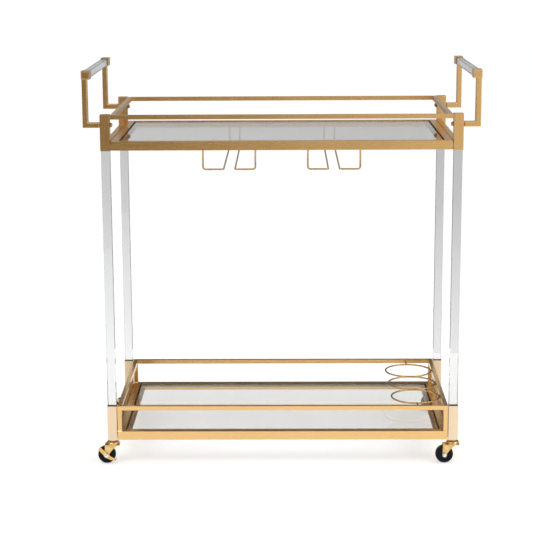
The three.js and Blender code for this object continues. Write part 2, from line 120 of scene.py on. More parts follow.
class Corner(Enum):
    """A leg of the cart, with its side in X and in Y."""

    FRONT_LEFT = (-1, -1)
    FRONT_RIGHT = (1, -1)
    BACK_LEFT = (-1, 1)
    BACK_RIGHT = (1, 1)

    @property
    def label(self) -> str:
        """The corner's name in the frame."""
        return self.name.lower()

    @property
    def sx(self) -> int:
        """-1 on the left, 1 on the right."""
        return self.value[0]

    @property
    def sy(self) -> int:
        """-1 at the front, 1 at the back."""
        return self.value[1]


class Level(Enum):
    """One of the two trays."""

    UPPER = "upper"
    LOWER = "lower"


# ---- Finishes -------------------------------------------------------------------------------


def even(value: float) -> Colour:
    """Three equal numbers: a neutral tone, or a scale that is the same on every axis."""
    return value, value, value


class Recipe:
    """One material's node tree, built up round its Principled shader."""

    def __init__(self, name: str) -> None:
        """Starts a material.

        Args:
            name: The material's name.
        """
        self.material = bpy.data.materials.new(name)
        self.material.use_nodes = True
        self.tree = self.material.node_tree
        self.shader = self.tree.nodes["Principled BSDF"]

    def constants(self, values: dict[str, float | tuple[float, ...]]) -> Self:
        """Sets the shader's own sockets.

        Args:
            values: Value of each socket, by its name.

        Returns:
            The recipe.
        """
        for socket, value in values.items():
            self.shader.inputs[socket].default_value = value
        return self

    def node(self, kind: str, **inputs: object) -> bpy.types.Node:
        """Adds a node and fills its inputs.

        Args:
            kind: Blender's type of node.
            **inputs: A socket to link or a value to set, by the input's name with _ for a space.

        Returns:
            The node.
        """
        node = self.tree.nodes.new(kind)
        for label, value in inputs.items():
            socket = node.inputs[label.replace("_", " ")]
            if isinstance(value, bpy.types.NodeSocket):
                self.tree.links.new(value, socket)
            else:
                socket.default_value = value
        return node

    def noise(
        self, scale: Point | float, detail: float = 2.0, roughness: float = 0.5
    ) -> bpy.types.NodeSocket:
        """A noise in object space.

        Args:
            scale: Lumps per metre, the same all ways or one number for each axis.
            detail: Octaves of the noise.
            roughness: Strength of the finer octaves.

        Returns:
            The noise's value, about 0.5.
        """
        lumps = tuple(scale) if isinstance(scale, Sequence) else even(scale)
        place = self.node("ShaderNodeTexCoord").outputs["Object"]
        stretched = self.node("ShaderNodeMapping", Vector=place, Scale=lumps)
        noise = self.node(
            "ShaderNodeTexNoise",
            Vector=stretched.outputs["Vector"],
            Scale=1.0,
            Detail=detail,
            Roughness=roughness,
        )
        return noise.outputs["Fac"]

    def attribute(self, name: str) -> bpy.types.NodeSocket:
        """The value of one of the piece's own attributes.

        Args:
            name: The attribute's name.

        Returns:
            Its value.
        """
        node = self.tree.nodes.new("ShaderNodeAttribute")
        node.attribute_name = name
        return node.outputs["Fac"]

    def spread(
        self, value: bpy.types.NodeSocket, low: float, high: float, start: float = 0.35, end: float = 0.65
    ) -> bpy.types.NodeSocket:
        """Stretches a value on to a new range.

        Args:
            value: The value to stretch.
            low: Result at the start and below it.
            high: Result at the end and above it.
            start: Value that gives low.
            end: Value that gives high.

        Returns:
            The stretched value.
        """
        node = self.tree.nodes.new("ShaderNodeMapRange")
        self.tree.links.new(value, node.inputs["Value"])
        ends = {"From Min": start, "From Max": end, "To Min": low, "To Max": high}
        for label, number in ends.items():
            node.inputs[label].default_value = number
        return node.outputs["Result"]

    def maths(self, operation: str, *values: bpy.types.NodeSocket | float) -> bpy.types.NodeSocket:
        """A sum of two values.

        Args:
            operation: Blender's name of the sum.
            *values: Sockets or numbers.

        Returns:
            The result.
        """
        node = self.tree.nodes.new("ShaderNodeMath")
        node.operation = operation
        for socket, value in zip(node.inputs, values):
            if isinstance(value, bpy.types.NodeSocket):
                self.tree.links.new(value, socket)
            else:
                socket.default_value = value
        return node.outputs["Value"]

    def tint(
        self, factor: bpy.types.NodeSocket, start: Colour | bpy.types.NodeSocket, end: Colour
    ) -> bpy.types.NodeSocket:
        """A colour between two others.

        Args:
            factor: 0 gives the first colour and 1 the second.
            start: First colour.
            end: Second colour.

        Returns:
            The mixed colour.
        """
        node = self.tree.nodes.new("ShaderNodeMix")
        node.data_type = "RGBA"
        colours = [socket for socket in node.inputs if socket.type == "RGBA"]
        self.tree.links.new(factor, node.inputs["Factor"])
        if isinstance(start, bpy.types.NodeSocket):
            self.tree.links.new(start, colours[0])
        else:
            colours[0].default_value = (*start, 1.0)
        colours[1].default_value = (*end, 1.0)
        return next(socket for socket in node.outputs if socket.type == "RGBA")

    def bump(
        self, height: bpy.types.NodeSocket, depth: float, strength: float = 1.0,
        under: bpy.types.NodeSocket | None = None,
    ) -> bpy.types.NodeSocket:
        """A relief on the surface.

        Args:
            height: Height from 0 to 1.
            depth: Real depth of the relief, in metres.
            strength: Share of the relief that shows.
            under: A coarser relief that this one lies on.

        Returns:
            The normal.
        """
        node = self.node("ShaderNodeBump", Height=height, Distance=depth, Strength=strength)
        if under is not None:
            self.tree.links.new(under, node.inputs["Normal"])
        return node.outputs["Normal"]

    def feed(self, **sockets: bpy.types.NodeSocket) -> bpy.types.Material:
        """Links values to the shader and gives the finished material.

        Args:
            **sockets: Value for each of the shader's inputs, with _ for a space.

        Returns:
            The material.
        """
        for label, value in sockets.items():
            self.tree.links.new(value, self.shader.inputs[label.replace("_", " ")])
        return self.material


@dataclass(frozen=True)
class BrushedPlate:
    """Satin plating with fine brush lines along one axis and brighter worn edges."""

    name: str
    light: Colour
    dark: Colour
    worn: Colour
    roughness: float = 0.25
    lines: float = 2600.0
    line_run: float = 26.0
    line_depth: float = 0.004 * MM
    streaks: float = 520.0
    streak_run: float = 4.0
    streak_share: float = 0.6
    clouds: float = 6.0
    cloud_depth: float = 0.1 * MM
    rub: float = 260.0

    def material(self, grain: Axis) -> bpy.types.Material:
        """The finish with its brush lines along an axis, made the first time it is asked for.

        Args:
            grain: Direction of the brush lines.

        Returns:
            The material.
        """
        label = f"{self.name}_{grain.name.lower()}"
        if label in bpy.data.materials:
            return bpy.data.materials[label]
        recipe = Recipe(label).constants({"Metallic": 1.0})

        def along(run: float, across: float) -> list[float]:
            """Lumps per metre along the grain and across it."""
            return [run if i == grain.value else across for i in range(3)]

        lines = recipe.noise(along(self.line_run, self.lines), 3.0, 0.6)
        streaks = recipe.noise(along(self.streak_run, self.streaks))
        clouds = recipe.noise(self.clouds)
        rub = recipe.noise(self.rub)
        streak_part = recipe.maths("MULTIPLY", streaks, self.streak_share)
        cloud_part = recipe.maths("MULTIPLY", clouds, 1.0 - self.streak_share)
        tone = recipe.maths("ADD", streak_part, cloud_part)
        colour = recipe.tint(recipe.spread(tone, 0.0, 1.0, 0.36, 0.64), self.dark, self.light)
        wear = recipe.maths("MULTIPLY", recipe.attribute("edge_wear"), recipe.spread(rub, 0.15, 0.9))
        colour = recipe.tint(wear, colour, self.worn)
        rough = recipe.maths("ADD", recipe.spread(lines, -0.04, 0.05), recipe.spread(clouds, -0.02, 0.02))
        rough = recipe.maths("ADD", rough, self.roughness)
        rough = recipe.maths("SUBTRACT", rough, recipe.maths("MULTIPLY", wear, 0.06))
        relief = recipe.bump(clouds, self.cloud_depth, 0.15)
        normal = recipe.bump(lines, self.line_depth, 0.6, relief)
        return recipe.feed(Base_Color=colour, Roughness=rough, Normal=normal)


@dataclass(frozen=True)
class BrightPlate:
    """Smooth bright plating over stamped or turned metal, a little uneven and dulled in places."""

    name: str
    light: Colour
    dark: Colour
    roughness: float
    clouds: float = 90.0
    dents: float = 0.05 * MM
    specks: float = 1400.0
    speck_depth: float = 0.006 * MM

    def material(self) -> bpy.types.Material:
        """The finish, made the first time it is asked for.

        Returns:
            The material.
        """
        if self.name in bpy.data.materials:
            return bpy.data.materials[self.name]
        recipe = Recipe(self.name).constants({"Metallic": 1.0})
        clouds = recipe.noise(self.clouds, 3.0)
        specks = recipe.noise(self.specks)
        colour = recipe.tint(recipe.spread(clouds, 0.0, 1.0), self.dark, self.light)
        rough = recipe.maths("ADD", recipe.spread(clouds, 0.05, -0.04), recipe.spread(specks, -0.02, 0.03))
        rough = recipe.maths("ADD", rough, self.roughness)
        normal = recipe.bump(specks, self.speck_depth, 0.5, recipe.bump(clouds, self.dents, 0.4))
        return recipe.feed(Base_Color=colour, Roughness=rough, Normal=normal)


@dataclass(frozen=True)
class ClearSolid:
    """Clear acrylic or glass, with a faint polish and a few dull marks from handling."""

    name: str
    tone: Colour
    smear: Colour
    refraction: float
    haze: float
    smears: tuple[float, float, float] = (35.0, 35.0, 9.0)
    waves: float = 8.0
    wave_depth: float = 0.3 * MM

    def material(self) -> bpy.types.Material:
        """The finish, made the first time it is asked for.

        Returns:
            The material.
        """
        if self.name in bpy.data.materials:
            return bpy.data.materials[self.name]
        recipe = Recipe(self.name).constants(
            {"Metallic": 0.0, "Transmission Weight": 1.0, "IOR": self.refraction}
        )
        smears = recipe.noise(self.smears, 4.0, 0.6)
        waves = recipe.noise(self.waves, 1.0)
        colour = recipe.tint(recipe.spread(smears, 0.0, 1.0, 0.45, 0.75), self.tone, self.smear)
        rough = recipe.spread(smears, self.haze * 0.3, self.haze * 2.0, 0.4, 0.8)
        normal = recipe.bump(waves, self.wave_depth, 0.2)
        return recipe.feed(Base_Color=colour, Roughness=rough, Normal=normal)


@dataclass(frozen=True)
class BlackMoulding:
    """Black rubber or nylon with a fine moulded grain and a little dust."""

    name: str
    body: Colour
    dust: Colour
    roughness: float
    grain: float
    sheen: float
    depth: float = 0.02 * MM
    patches: float = 120.0

    def material(self) -> bpy.types.Material:
        """The finish, made the first time it is asked for.

        Returns:
            The material.
        """
        if self.name in bpy.data.materials:
            return bpy.data.materials[self.name]
        recipe = Recipe(self.name).constants({"Metallic": 0.0, "Specular IOR Level": self.sheen})
        grain = recipe.noise(self.grain, 3.0)
        patches = recipe.noise(self.patches, 3.0)
        colour = recipe.tint(recipe.spread(patches, 0.0, 0.6, 0.45, 0.75), self.body, self.dust)
        rough = recipe.maths("ADD", recipe.spread(grain, -0.05, 0.08), self.roughness)
        return recipe.feed(Base_Color=colour, Roughness=rough, Normal=recipe.bump(grain, self.depth, 0.7))


GOLD = BrushedPlate("satin_gold", (0.80, 0.515, 0.225), (0.765, 0.485, 0.207), (0.90, 0.66, 0.36))
# Painted reflection: a paler copy of the satin gold for the lower sleeves, standing in for the bright floor
# mirrored in them.
FLOOR_SHINE_GOLD = BrushedPlate("pale_gold", (0.795, 0.635, 0.44), (0.765, 0.60, 0.405), (0.90, 0.78, 0.60))
# Painted shade: a darker copy of the satin gold for the ledge under the glass, standing in for the shade and
# dark reflections it sits in.
SHADED_LEDGE_GOLD = BrushedPlate("ledge_gold", (0.42, 0.27, 0.12), (0.36, 0.23, 0.10), (0.55, 0.38, 0.19))
WIRE_GOLD = BrushedPlate("wire_gold", (0.44, 0.275, 0.105), (0.38, 0.235, 0.088), (0.62, 0.42, 0.19))
CASTER_GOLD = BrightPlate("caster_plating", (0.80, 0.56, 0.24), (0.56, 0.37, 0.13), 0.13)
BOLT_GOLD = BrightPlate("nut_gold", (0.40, 0.26, 0.11), (0.28, 0.175, 0.07), 0.2)
NICKEL = BrightPlate("bright_nickel", (0.86, 0.87, 0.89), (0.74, 0.75, 0.78), 0.12)
ZINC = BrightPlate("zinc", (0.95, 0.95, 0.97), (0.88, 0.88, 0.91), 0.4)
ACRYLIC = ClearSolid("clear_acrylic", (0.83, 0.835, 0.835), (0.815, 0.82, 0.82), 1.49, 0.03)
GLASS = ClearSolid("clear_shelf_glass", (0.93, 0.935, 0.925), (0.915, 0.92, 0.91), 1.45, 0.02)
# Painted reflection: the glass's ground edges are tinted gold, standing in for the gold frame seen in them.
GOLD_TINTED_GLASS_EDGE = ClearSolid("ground_glass_edge", (0.80, 0.66, 0.44), (0.76, 0.62, 0.41), 1.45, 0.05)
RUBBER = BlackMoulding("black_gasket", (0.012, 0.012, 0.011), (0.03, 0.03, 0.027), 0.6, 2200.0, 0.25)
TREAD = BlackMoulding("black_tread", (0.006, 0.006, 0.007), even(0.014), 0.34, 1800.0, 0.16)


# ---- The bench --------------------------------------------------------------------------------


def clear_bench() -> None:
    """Leaves edit mode and deselects everything."""
    if bpy.context.mode != "OBJECT":
        bpy.ops.object.mode_set(mode="OBJECT")
    bpy.ops.object.select_all(action="DESELECT")


class Workpiece:
    """A mesh on the bench: a primitive that is shaped in edit mode and finished with modifiers."""

    def __init__(self, name: str) -> None:
        """Takes the primitive that was just added, with its place put into its mesh.

        Args:
            name: Name of the piece.
        """
        bpy.ops.object.transform_apply(location=True, rotation=True, scale=True)
        self.obj = bpy.context.active_object
        self.obj.name = name
        self.obj.data.name = name

    @classmethod
    def block(cls, name: str, low: Point, high: Point) -> Self:
        """A rectangular bar between two corners.

        Args:
            name: Name of the piece.
            low: One corner.
            high: The opposite corner, in any order.

        Returns:
            The workpiece.
        """
        clear_bench()
        a, b = Vector(low), Vector(high)
        size = Vector(abs(b[i] - a[i]) for i in range(3))
        bpy.ops.mesh.primitive_cube_add(size=1, location=(a + b) / 2, scale=size)
        return cls(name)

    @classmethod
    def disc(cls, name: str, centre: Point, radius: float, facing: Vector, sides: int) -> Self:
        """A flat round or many-sided face.

        Args:
            name: Name of the piece.
            centre: Middle of the face.
            radius: Distance of its corners from the middle.
            facing: Direction that it faces.
            sides: Number of sides.

        Returns:
            The workpiece.
        """
        clear_bench()
        bpy.ops.mesh.primitive_circle_add(
            vertices=sides,
            radius=radius,
            fill_type="NGON",
            location=centre,
            rotation=facing.to_track_quat("Z", "Y").to_euler(),
        )
        return cls(name)

    @classmethod
    def path(cls, name: str, points: Sequence[Vector]) -> Self:
        """A row of edges through points, extruded from a single corner.

        Args:
            name: Name of the piece.
            points: The points, in order.

        Returns:
            The workpiece, in edit mode with all of it selected.
        """
        clear_bench()
        bpy.ops.mesh.primitive_plane_add(size=MM, location=points[0])
        piece = cls(name).everything("VERT")
        bpy.ops.mesh.merge(type="CENTER")
        for before, after in zip(points, points[1:]):
            bpy.ops.mesh.extrude_vertices_move(TRANSFORM_OT_translate={"value": after - before})
        return piece.everything("VERT")

    @classmethod
    def turned(cls, name: str, section: Sequence[Point], centre: Point, axis: Axis, sides: int = 32) -> Self:
        """A piece turned on the lathe.

        Args:
            name: Name of the piece.
            section: [radius, place along the axis] from end to end, closed where it has a bore.
            centre: Point on the axis that the section's places are measured from.
            axis: Direction of the axis.
            sides: Steps round the axis.

        Returns:
            The workpiece.
        """
        outwards = Axis.Z.unit if axis is Axis.X else Axis.X.unit
        base = Vector(centre)
        points = [base + outwards * radius + axis.unit * place for radius, place in section]
        piece = cls.path(name, points)
        bpy.ops.mesh.spin(steps=sides, angle=2 * math.pi, center=base, axis=axis.unit)
        return piece.weld()

    def _take_up(self) -> None:
        """Makes this piece the active one and the only one selected, out of edit mode."""
        clear_bench()
        bpy.context.view_layer.objects.active = self.obj
        self.obj.select_set(True)

    def edit(self, kind: str = "FACE") -> Self:
        """Goes into edit mode on this piece.

        Args:
            kind: What is selected: VERT, EDGE or FACE.

        Returns:
            The workpiece.
        """
        if bpy.context.mode != "EDIT_MESH" or bpy.context.active_object != self.obj:
            self._take_up()
            bpy.ops.object.mode_set(mode="EDIT")
        bpy.ops.mesh.select_mode(type=kind)
        return self

    def everything(self, kind: str = "FACE") -> Self:
        """Selects all of the piece.

        Args:
            kind: What is selected: VERT, EDGE or FACE.

        Returns:
            The workpiece.
        """
        self.edit(kind)
        bpy.ops.mesh.select_all(action="SELECT")
        return self

    def _pick(self, kind: str, chosen: Callable[[bmesh.types.BMesh], list]) -> Self:
        """Selects what a function chooses from the mesh, and nothing else.

        Args:
            kind: What is selected: VERT, EDGE or FACE.
            chosen: Gives the corners, edges or faces to select.

        Returns:
            The workpiece.
        """
        self.edit(kind)
        bpy.ops.mesh.select_all(action="DESELECT")
        mesh = bmesh.from_edit_mesh(self.obj.data)
        for element in chosen(mesh):
            element.select_set(True)
        mesh.select_flush_mode()
        bmesh.update_edit_mesh(self.obj.data)
        return self

    def faces(self, test: FaceTest) -> Self:
        """Selects the faces whose middle and normal pass a test.

        Args:
            test: Called with a face's middle and its normal.

        Returns:
            The workpiece.
        """
        return self._pick(
            "FACE", lambda mesh: [f for f in mesh.faces if test(f.calc_center_median(), f.normal)]
        )

    def edges(self, test: EdgeTest) -> Self:
        """Selects the edges whose two ends pass a test."""
        return self._pick("EDGE", lambda mesh: [e for e in mesh.edges if test(e.verts[0].co, e.verts[1].co)])

    def corners(self, test: VertTest) -> Self:
        """Selects the corners whose place passes a test."""
        return self._pick("VERT", lambda mesh: [v for v in mesh.verts if test(v.co)])

    def extrude(self, move: Point) -> Self:
        """Draws the selected faces out by a distance."""
        bpy.ops.mesh.extrude_region_move(TRANSFORM_OT_translate={"value": Vector(move)})
        return self

    def inset(self, width: float, depth: float = 0.0) -> Self:
        """Puts a border inside the selected faces, and raises them by a depth."""
        bpy.ops.mesh.inset(thickness=width, depth=depth)
        return self

    def resize(self, scale: Point, about: Point) -> Self:
        """Scales what is selected about a point that stays."""
        bpy.ops.transform.resize(value=Vector(scale), center_override=Vector(about))
        return self

    def shift(self, move: Point) -> Self:
        """Moves what is selected."""
        bpy.ops.transform.translate(value=Vector(move))
        return self

    def slice(self, place: Point, facing: Vector) -> Self:
        """Cuts a line round the whole piece where a plane meets it.

        Args:
            place: A point of the plane.
            facing: The plane's normal.

        Returns:
            The workpiece.
        """
        self.everything()
        bpy.ops.mesh.bisect(plane_co=Vector(place), plane_no=facing)
        return self

    def bridge(self) -> Self:
        """Joins the selected faces by a hole through the piece."""
        bpy.ops.mesh.bridge_edge_loops()
        return self

    def bevel_selected(self, width: float, segments: int = 2) -> Self:
        """Bevels the selected edges, with some faces across each bevel."""
        bpy.ops.mesh.bevel(offset=width, segments=segments, affect="EDGES")
        return self

    def fill(self) -> Self:
        """Makes one face inside the selected outline."""
        bpy.ops.mesh.edge_face_add()
        return self

    def weld(self) -> Self:
        """Merges corners that lie together and turns all faces outwards.

        Returns:
            The workpiece.
        """
        self.everything("VERT")
        bpy.ops.mesh.remove_doubles(threshold=0.002 * MM)
        bpy.ops.mesh.normals_make_consistent(inside=False)
        return self

    def absorb(self, *others: Self) -> Self:
        """Takes other workpieces into this one's mesh.

        Args:
            *others: The workpieces, which are used up.

        Returns:
            The workpiece.
        """
        self._take_up()
        for other in others:
            other.obj.select_set(True)
        bpy.ops.object.join()
        return self

    def _modify(self, kind: str, settings: dict[str, object]) -> Self:
        """Adds a modifier and applies it.

        Args:
            kind: Blender's type of modifier.
            settings: Value of each of its settings.

        Returns:
            The workpiece.
        """
        self._take_up()
        modifier = self.obj.modifiers.new("step", kind)
        for label, value in settings.items():
            setattr(modifier, label, value)
        bpy.ops.object.modifier_apply(modifier=modifier.name)
        return self

    def combine(self, operation: str, *tools: Self) -> Self:
        """Unites this piece with others, or cuts them out of it.

        Args:
            operation: UNION or DIFFERENCE.
            *tools: The other workpieces, which are used up.

        Returns:
            The workpiece.
        """
        for tool in tools:
            self._modify("BOOLEAN", {"operation": operation, "solver": "EXACT", "object": tool.obj})
            bpy.data.objects.remove(tool.obj)
        return self

    def drill(self, centre: Point, axis: Axis, radius: float, reach: float) -> Self:
        """Cuts a round hole that reaches from its centre both ways."""
        section = [(0, -reach), (radius, -reach), (radius, reach), (0, reach)]
        return self.combine("DIFFERENCE", Workpiece.turned("drill", section, centre, axis, 24))

    def finish(self, edge: float = 0.0, segments: int = 3, smooth: float = 35.0) -> Self:
        """Rounds the sharp edges and sets the shading.

        Args:
            edge: Width of the rounding, 0 for none.
            segments: Faces across the rounding.
            smooth: Angle in degrees below which faces shade as one.

        Returns:
            The workpiece.
        """
        self.weld()
        self._take_up()
        bpy.ops.object.shade_smooth_by_angle(angle=math.radians(smooth))
        if edge:
            self._modify(
                "BEVEL",
                {
                    "width": edge,
                    "segments": segments,
                    "limit_method": "ANGLE",
                    "angle_limit": SHARP,
                    "harden_normals": True,
                },
            )
        self._mark_edges()
        return self

    def _mark_edges(self) -> None:
        """Writes 1 on the faces of rounded edges and 0 on flat ones, for the wear of the plating."""
        mesh = self.obj.data
        marks = mesh.attributes.new("edge_wear", "FLOAT", "FACE")
        flat = 0.996
        values = [float(max(map(abs, face.normal)) < flat) for face in mesh.polygons]
        marks.data.foreach_set("value", values)

    def dress(self, materials: Sequence[bpy.types.Material], rule: FaceRule | None = None) -> Self:
        """Gives the piece its materials.

        Args:
            materials: The materials.
            rule: Called with a face's middle and normal, gives the number of its material.

        Returns:
            The workpiece.
        """
        mesh = self.obj.data
        mesh.materials.clear()
        for material in materials:
            mesh.materials.append(material)
        if rule is not None:
            for face in mesh.polygons:
                face.material_index = rule(face.center, face.normal)
        return self

    def copy(self, name: str, move: Point) -> Self:
        """A second piece of the same shape, with its own mesh.

        Args:
            name: Name of the copy.
            move: How far from this one it lies.

        Returns:
            The copy.
        """
        twin = Workpiece.__new__(Workpiece)
        twin.obj = self.obj.copy()
        twin.obj.data = self.obj.data.copy()
        twin.obj.name = name
        twin.obj.data.name = name
        twin.obj.data.transform(Matrix.Translation(Vector(move)))
        bpy.context.scene.collection.objects.link(twin.obj)
        return twin

    def deliver(self, slot: Slot, *nodes: str) -> Self:
        """Hands the piece over in place of its nodes, on their body.

        Args:
            slot: Its material slot; here it only decides whether the piece casts a shadow.
            *nodes: The frame's nodes that it stands for.

        Returns:
            The workpiece.
        """
        clear_bench()
        body = frame["nodes"][nodes[0]]["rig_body"]
        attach(self.obj, body)
        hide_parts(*nodes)
        clear = slot in (Slot.ACRYLIC, Slot.GLASS)
        self.obj.visible_shadow = not clear
        LOG.info("%s on %s, %d faces", self.obj.name, body, len(self.obj.data.polygons))
        return self


def bent_wire(name: str, points: Sequence[Vector], diameter: float, bend: float) -> Workpiece:
    """A round wire through square bends.

    Args:
        name: Name of the piece.
        points: Ends and corners of the wire's middle line.
        diameter: Thickness of the wire.
        bend: Radius of the middle line at each bend.

    Returns:
        The workpiece, closed at both ends.
    """
    heading = (points[1] - points[0]).normalized()
    piece = Workpiece.disc(name, points[0], diameter / 2, -heading, WIRE_SIDES).everything()
    here = points[0]
    for corner, after in zip(points[1:], points[2:]):
        turn = (after - corner).normalized()
        start = corner - heading * bend
        piece.extrude(start - here)
        centre = start + turn * bend
        bpy.ops.mesh.spin(steps=6, angle=math.pi / 2, center=centre, axis=turn.cross(heading))
        here = corner + turn * bend
        heading = turn
    piece.extrude(points[-1] - here)
    return piece


def hoop(name: str, low: Point, high: Point, width: float, mitres: bool = True) -> Workpiece:
    """A rectangular ring of square or flat bar, mitred at its corners.

    Args:
        name: Name of the piece.
        low: Lowest corner of the ring.
        high: Highest corner.
        width: Width of the bar, seen from above.
        mitres: Whether the mitred joints show as fine scored lines.

    Returns:
        The workpiece.
    """
    piece = Workpiece.block(name, low, high)
    piece.faces(lambda _, normal: abs(normal.z) > FACING).inset(width).bridge()
    if not mitres:
        return piece
    far_x, far_y, margin = high[0], high[1], 0.02 * width

    def on_mitre(place: Vector) -> bool:
        """Whether a point lies on a mitre."""
        return abs((far_x - abs(place.x)) - (far_y - abs(place.y))) < 2 * SAME_PLACE

    def is_mitre(a: Vector, b: Vector) -> bool:
        """Whether an edge runs across the bar along its mitre."""
        level = abs(a.z - b.z) < SAME_PLACE
        return level and on_mitre(a) and on_mitre(b) and (a - b).length < 2 * width

    piece.edges(is_mitre).bevel_selected(MITRE_SCORE, 2)
    for level, inwards in ((high[2], -1), (low[2], 1)):
        piece.corners(
            lambda place: on_mitre(place)
            and abs(place.z - level) < SAME_PLACE
            and margin < far_x - abs(place.x) < width - margin
        )
        piece.shift((0, 0, inwards * MITRE_DEPTH))
    return piece


def grain_of_ring(half_x: float, half_y: float) -> FaceRule:
    """The rule that gives 0 on a mitred ring's bars along X, and 1 on its bars along Y."""
    return lambda place, _: int(half_x - abs(place.x) < half_y - abs(place.y))


def end_spacers(places: Sequence[Point], radius: float, inner: float, outer: float) -> list[Workpiece]:
    """The round spacers between a rail's ends and the sleeves.

    Args:
        places: A point on the axis of each spacer, which lies along X.
        radius: Radius of the spacers.
        inner: Distance of the rail's ends from the middle of the cart.
        outer: Distance of the sleeves.

    Returns:
        A spacer at both ends of every axis.
    """
    edge = 0.3 * MM
    start = inner - OVERLAP
    spacers = []
    for side in (-1, 1):
        section = [(0, side * start), (radius, side * start), (radius, side * outer), (0, side * outer)]
        for place in places:
            spacer = Workpiece.turned("spacer", section, place, Axis.X, 24).finish(edge, 2)
            spacers.append(spacer.dress([GOLD.material(Axis.X)]))
    return spacers


# ---- Sub-assemblies -----------------------------------------------------------------------------


@dataclass
class Legs:
    """The four acrylic legs and the sleeves on their ends."""

    post_edge: float = 0.9 * MM
    sleeve_edge: float = 1.1 * MM
    wall: float = 0.75 * MM
    cap: float = 2.0 * MM
    plug: float = 20.0 * MM
    cap_border: float = 1.5 * MM
    cap_step: float = 0.18 * MM
    bolt_hole: float = 3.3 * MM
    stem_hole: float = 4.3 * MM

    def build(self) -> None:
        """Builds one leg with its two sleeves, and copies them to the other corners."""
        first = Corner.FRONT_LEFT
        post = self.post(first)
        upper = self.sleeve(Level.UPPER, first)
        lower = self.sleeve(Level.LOWER, first)
        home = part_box(f"leg_post_{first.label}")[0]
        for corner in Corner:
            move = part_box(f"leg_post_{corner.label}")[0] - home
            parts = (
                (post, Slot.ACRYLIC, "acrylic_leg", "leg_post"),
                (upper, Slot.GOLD, "sleeve_upper", "upper_sleeve"),
                (lower, Slot.GOLD, "sleeve_lower", "lower_sleeve"),
            )
            for part, slot, label, node in parts:
                name = f"{label}_{corner.label}"
                piece = part if corner is first else part.copy(name, move)
                piece.deliver(slot, f"{node}_{corner.label}")

    def bolt_height(self, corner: Corner) -> float:
        """Height of the handle's bolt."""
        low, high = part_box(f"handle_bolt_{corner.label}")
        return (low.z + high.z) / 2

    def post(self, corner: Corner) -> Workpiece:
        """A square acrylic leg with polished arrises, drilled for the handle's bolt.

        Args:
            corner: Its corner of the cart.

        Returns:
            The leg.
        """
        low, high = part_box(f"leg_post_{corner.label}")
        piece = Workpiece.block(f"acrylic_leg_{corner.label}", low, high)
        middle = (low + high) / 2
        middle.z = self.bolt_height(corner)
        piece.drill(middle, Axis.X, self.bolt_hole, high.x - low.x)
        return piece.finish(self.post_edge, 3).dress([ACRYLIC.material()])

    def sleeve(self, level: Level, corner: Corner) -> Workpiece:
        """A square sleeve, open towards the acrylic, with a set-in end plate.

        Args:
            level: Upper or lower.
            corner: Its corner of the cart.

        Returns:
            The sleeve.
        """
        low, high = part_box(f"{level.value}_sleeve_{corner.label}")
        piece = Workpiece.block(f"sleeve_{level.value}_{corner.label}", low, high)
        mouth = 1 if level is Level.LOWER else -1
        end = self.plug if level is Level.LOWER else self.cap
        depth = high.z - low.z - end
        piece.faces(lambda _, normal: normal.z * mouth > FACING)
        piece.inset(self.wall).extrude((0, 0, -mouth * depth))
        piece.faces(lambda _, normal: normal.z * mouth < -FACING)
        piece.inset(self.cap_border).inset(self.cap_step, -self.cap_step).inset(self.cap_step, self.cap_step)
        middle = (low + high) / 2
        if level is Level.UPPER:
            middle.z = self.bolt_height(corner)
            piece.drill(middle, Axis.X, self.bolt_hole, high.x - low.x)
        else:
            middle.z = low.z
            piece.drill(middle, Axis.Z, self.stem_hole, high.x - low.x)
        # The lower sleeves take the paler gold, a painted reflection of the bright floor.
        plating = GOLD if level is Level.UPPER else FLOOR_SHINE_GOLD
        return piece.finish(self.sleeve_edge, 3).dress([plating.material(Axis.Z)])


@dataclass
class SideBars:
    """The tubes that join the front and back legs at each end."""

    edge: float = 1.3 * MM
    collar: float = 0.6 * MM

    def build(self) -> None:
        """Builds the four bars."""
        for level in Level:
            for side in SIDES:
                node = f"{level.value}_side_bar_{side}"
                low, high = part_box(node)
                piece = Workpiece.block(f"end_bar_{level.value}_{side}", low, high)
                for sign in (-1, 1):
                    piece.faces(lambda _, normal: normal.y * sign > FACING)
                    piece.inset(self.collar).extrude((0, -sign * self.collar, 0))
                piece.finish(self.edge, 3).dress([GOLD.material(Axis.Y)])
                piece.deliver(Slot.GOLD, node)


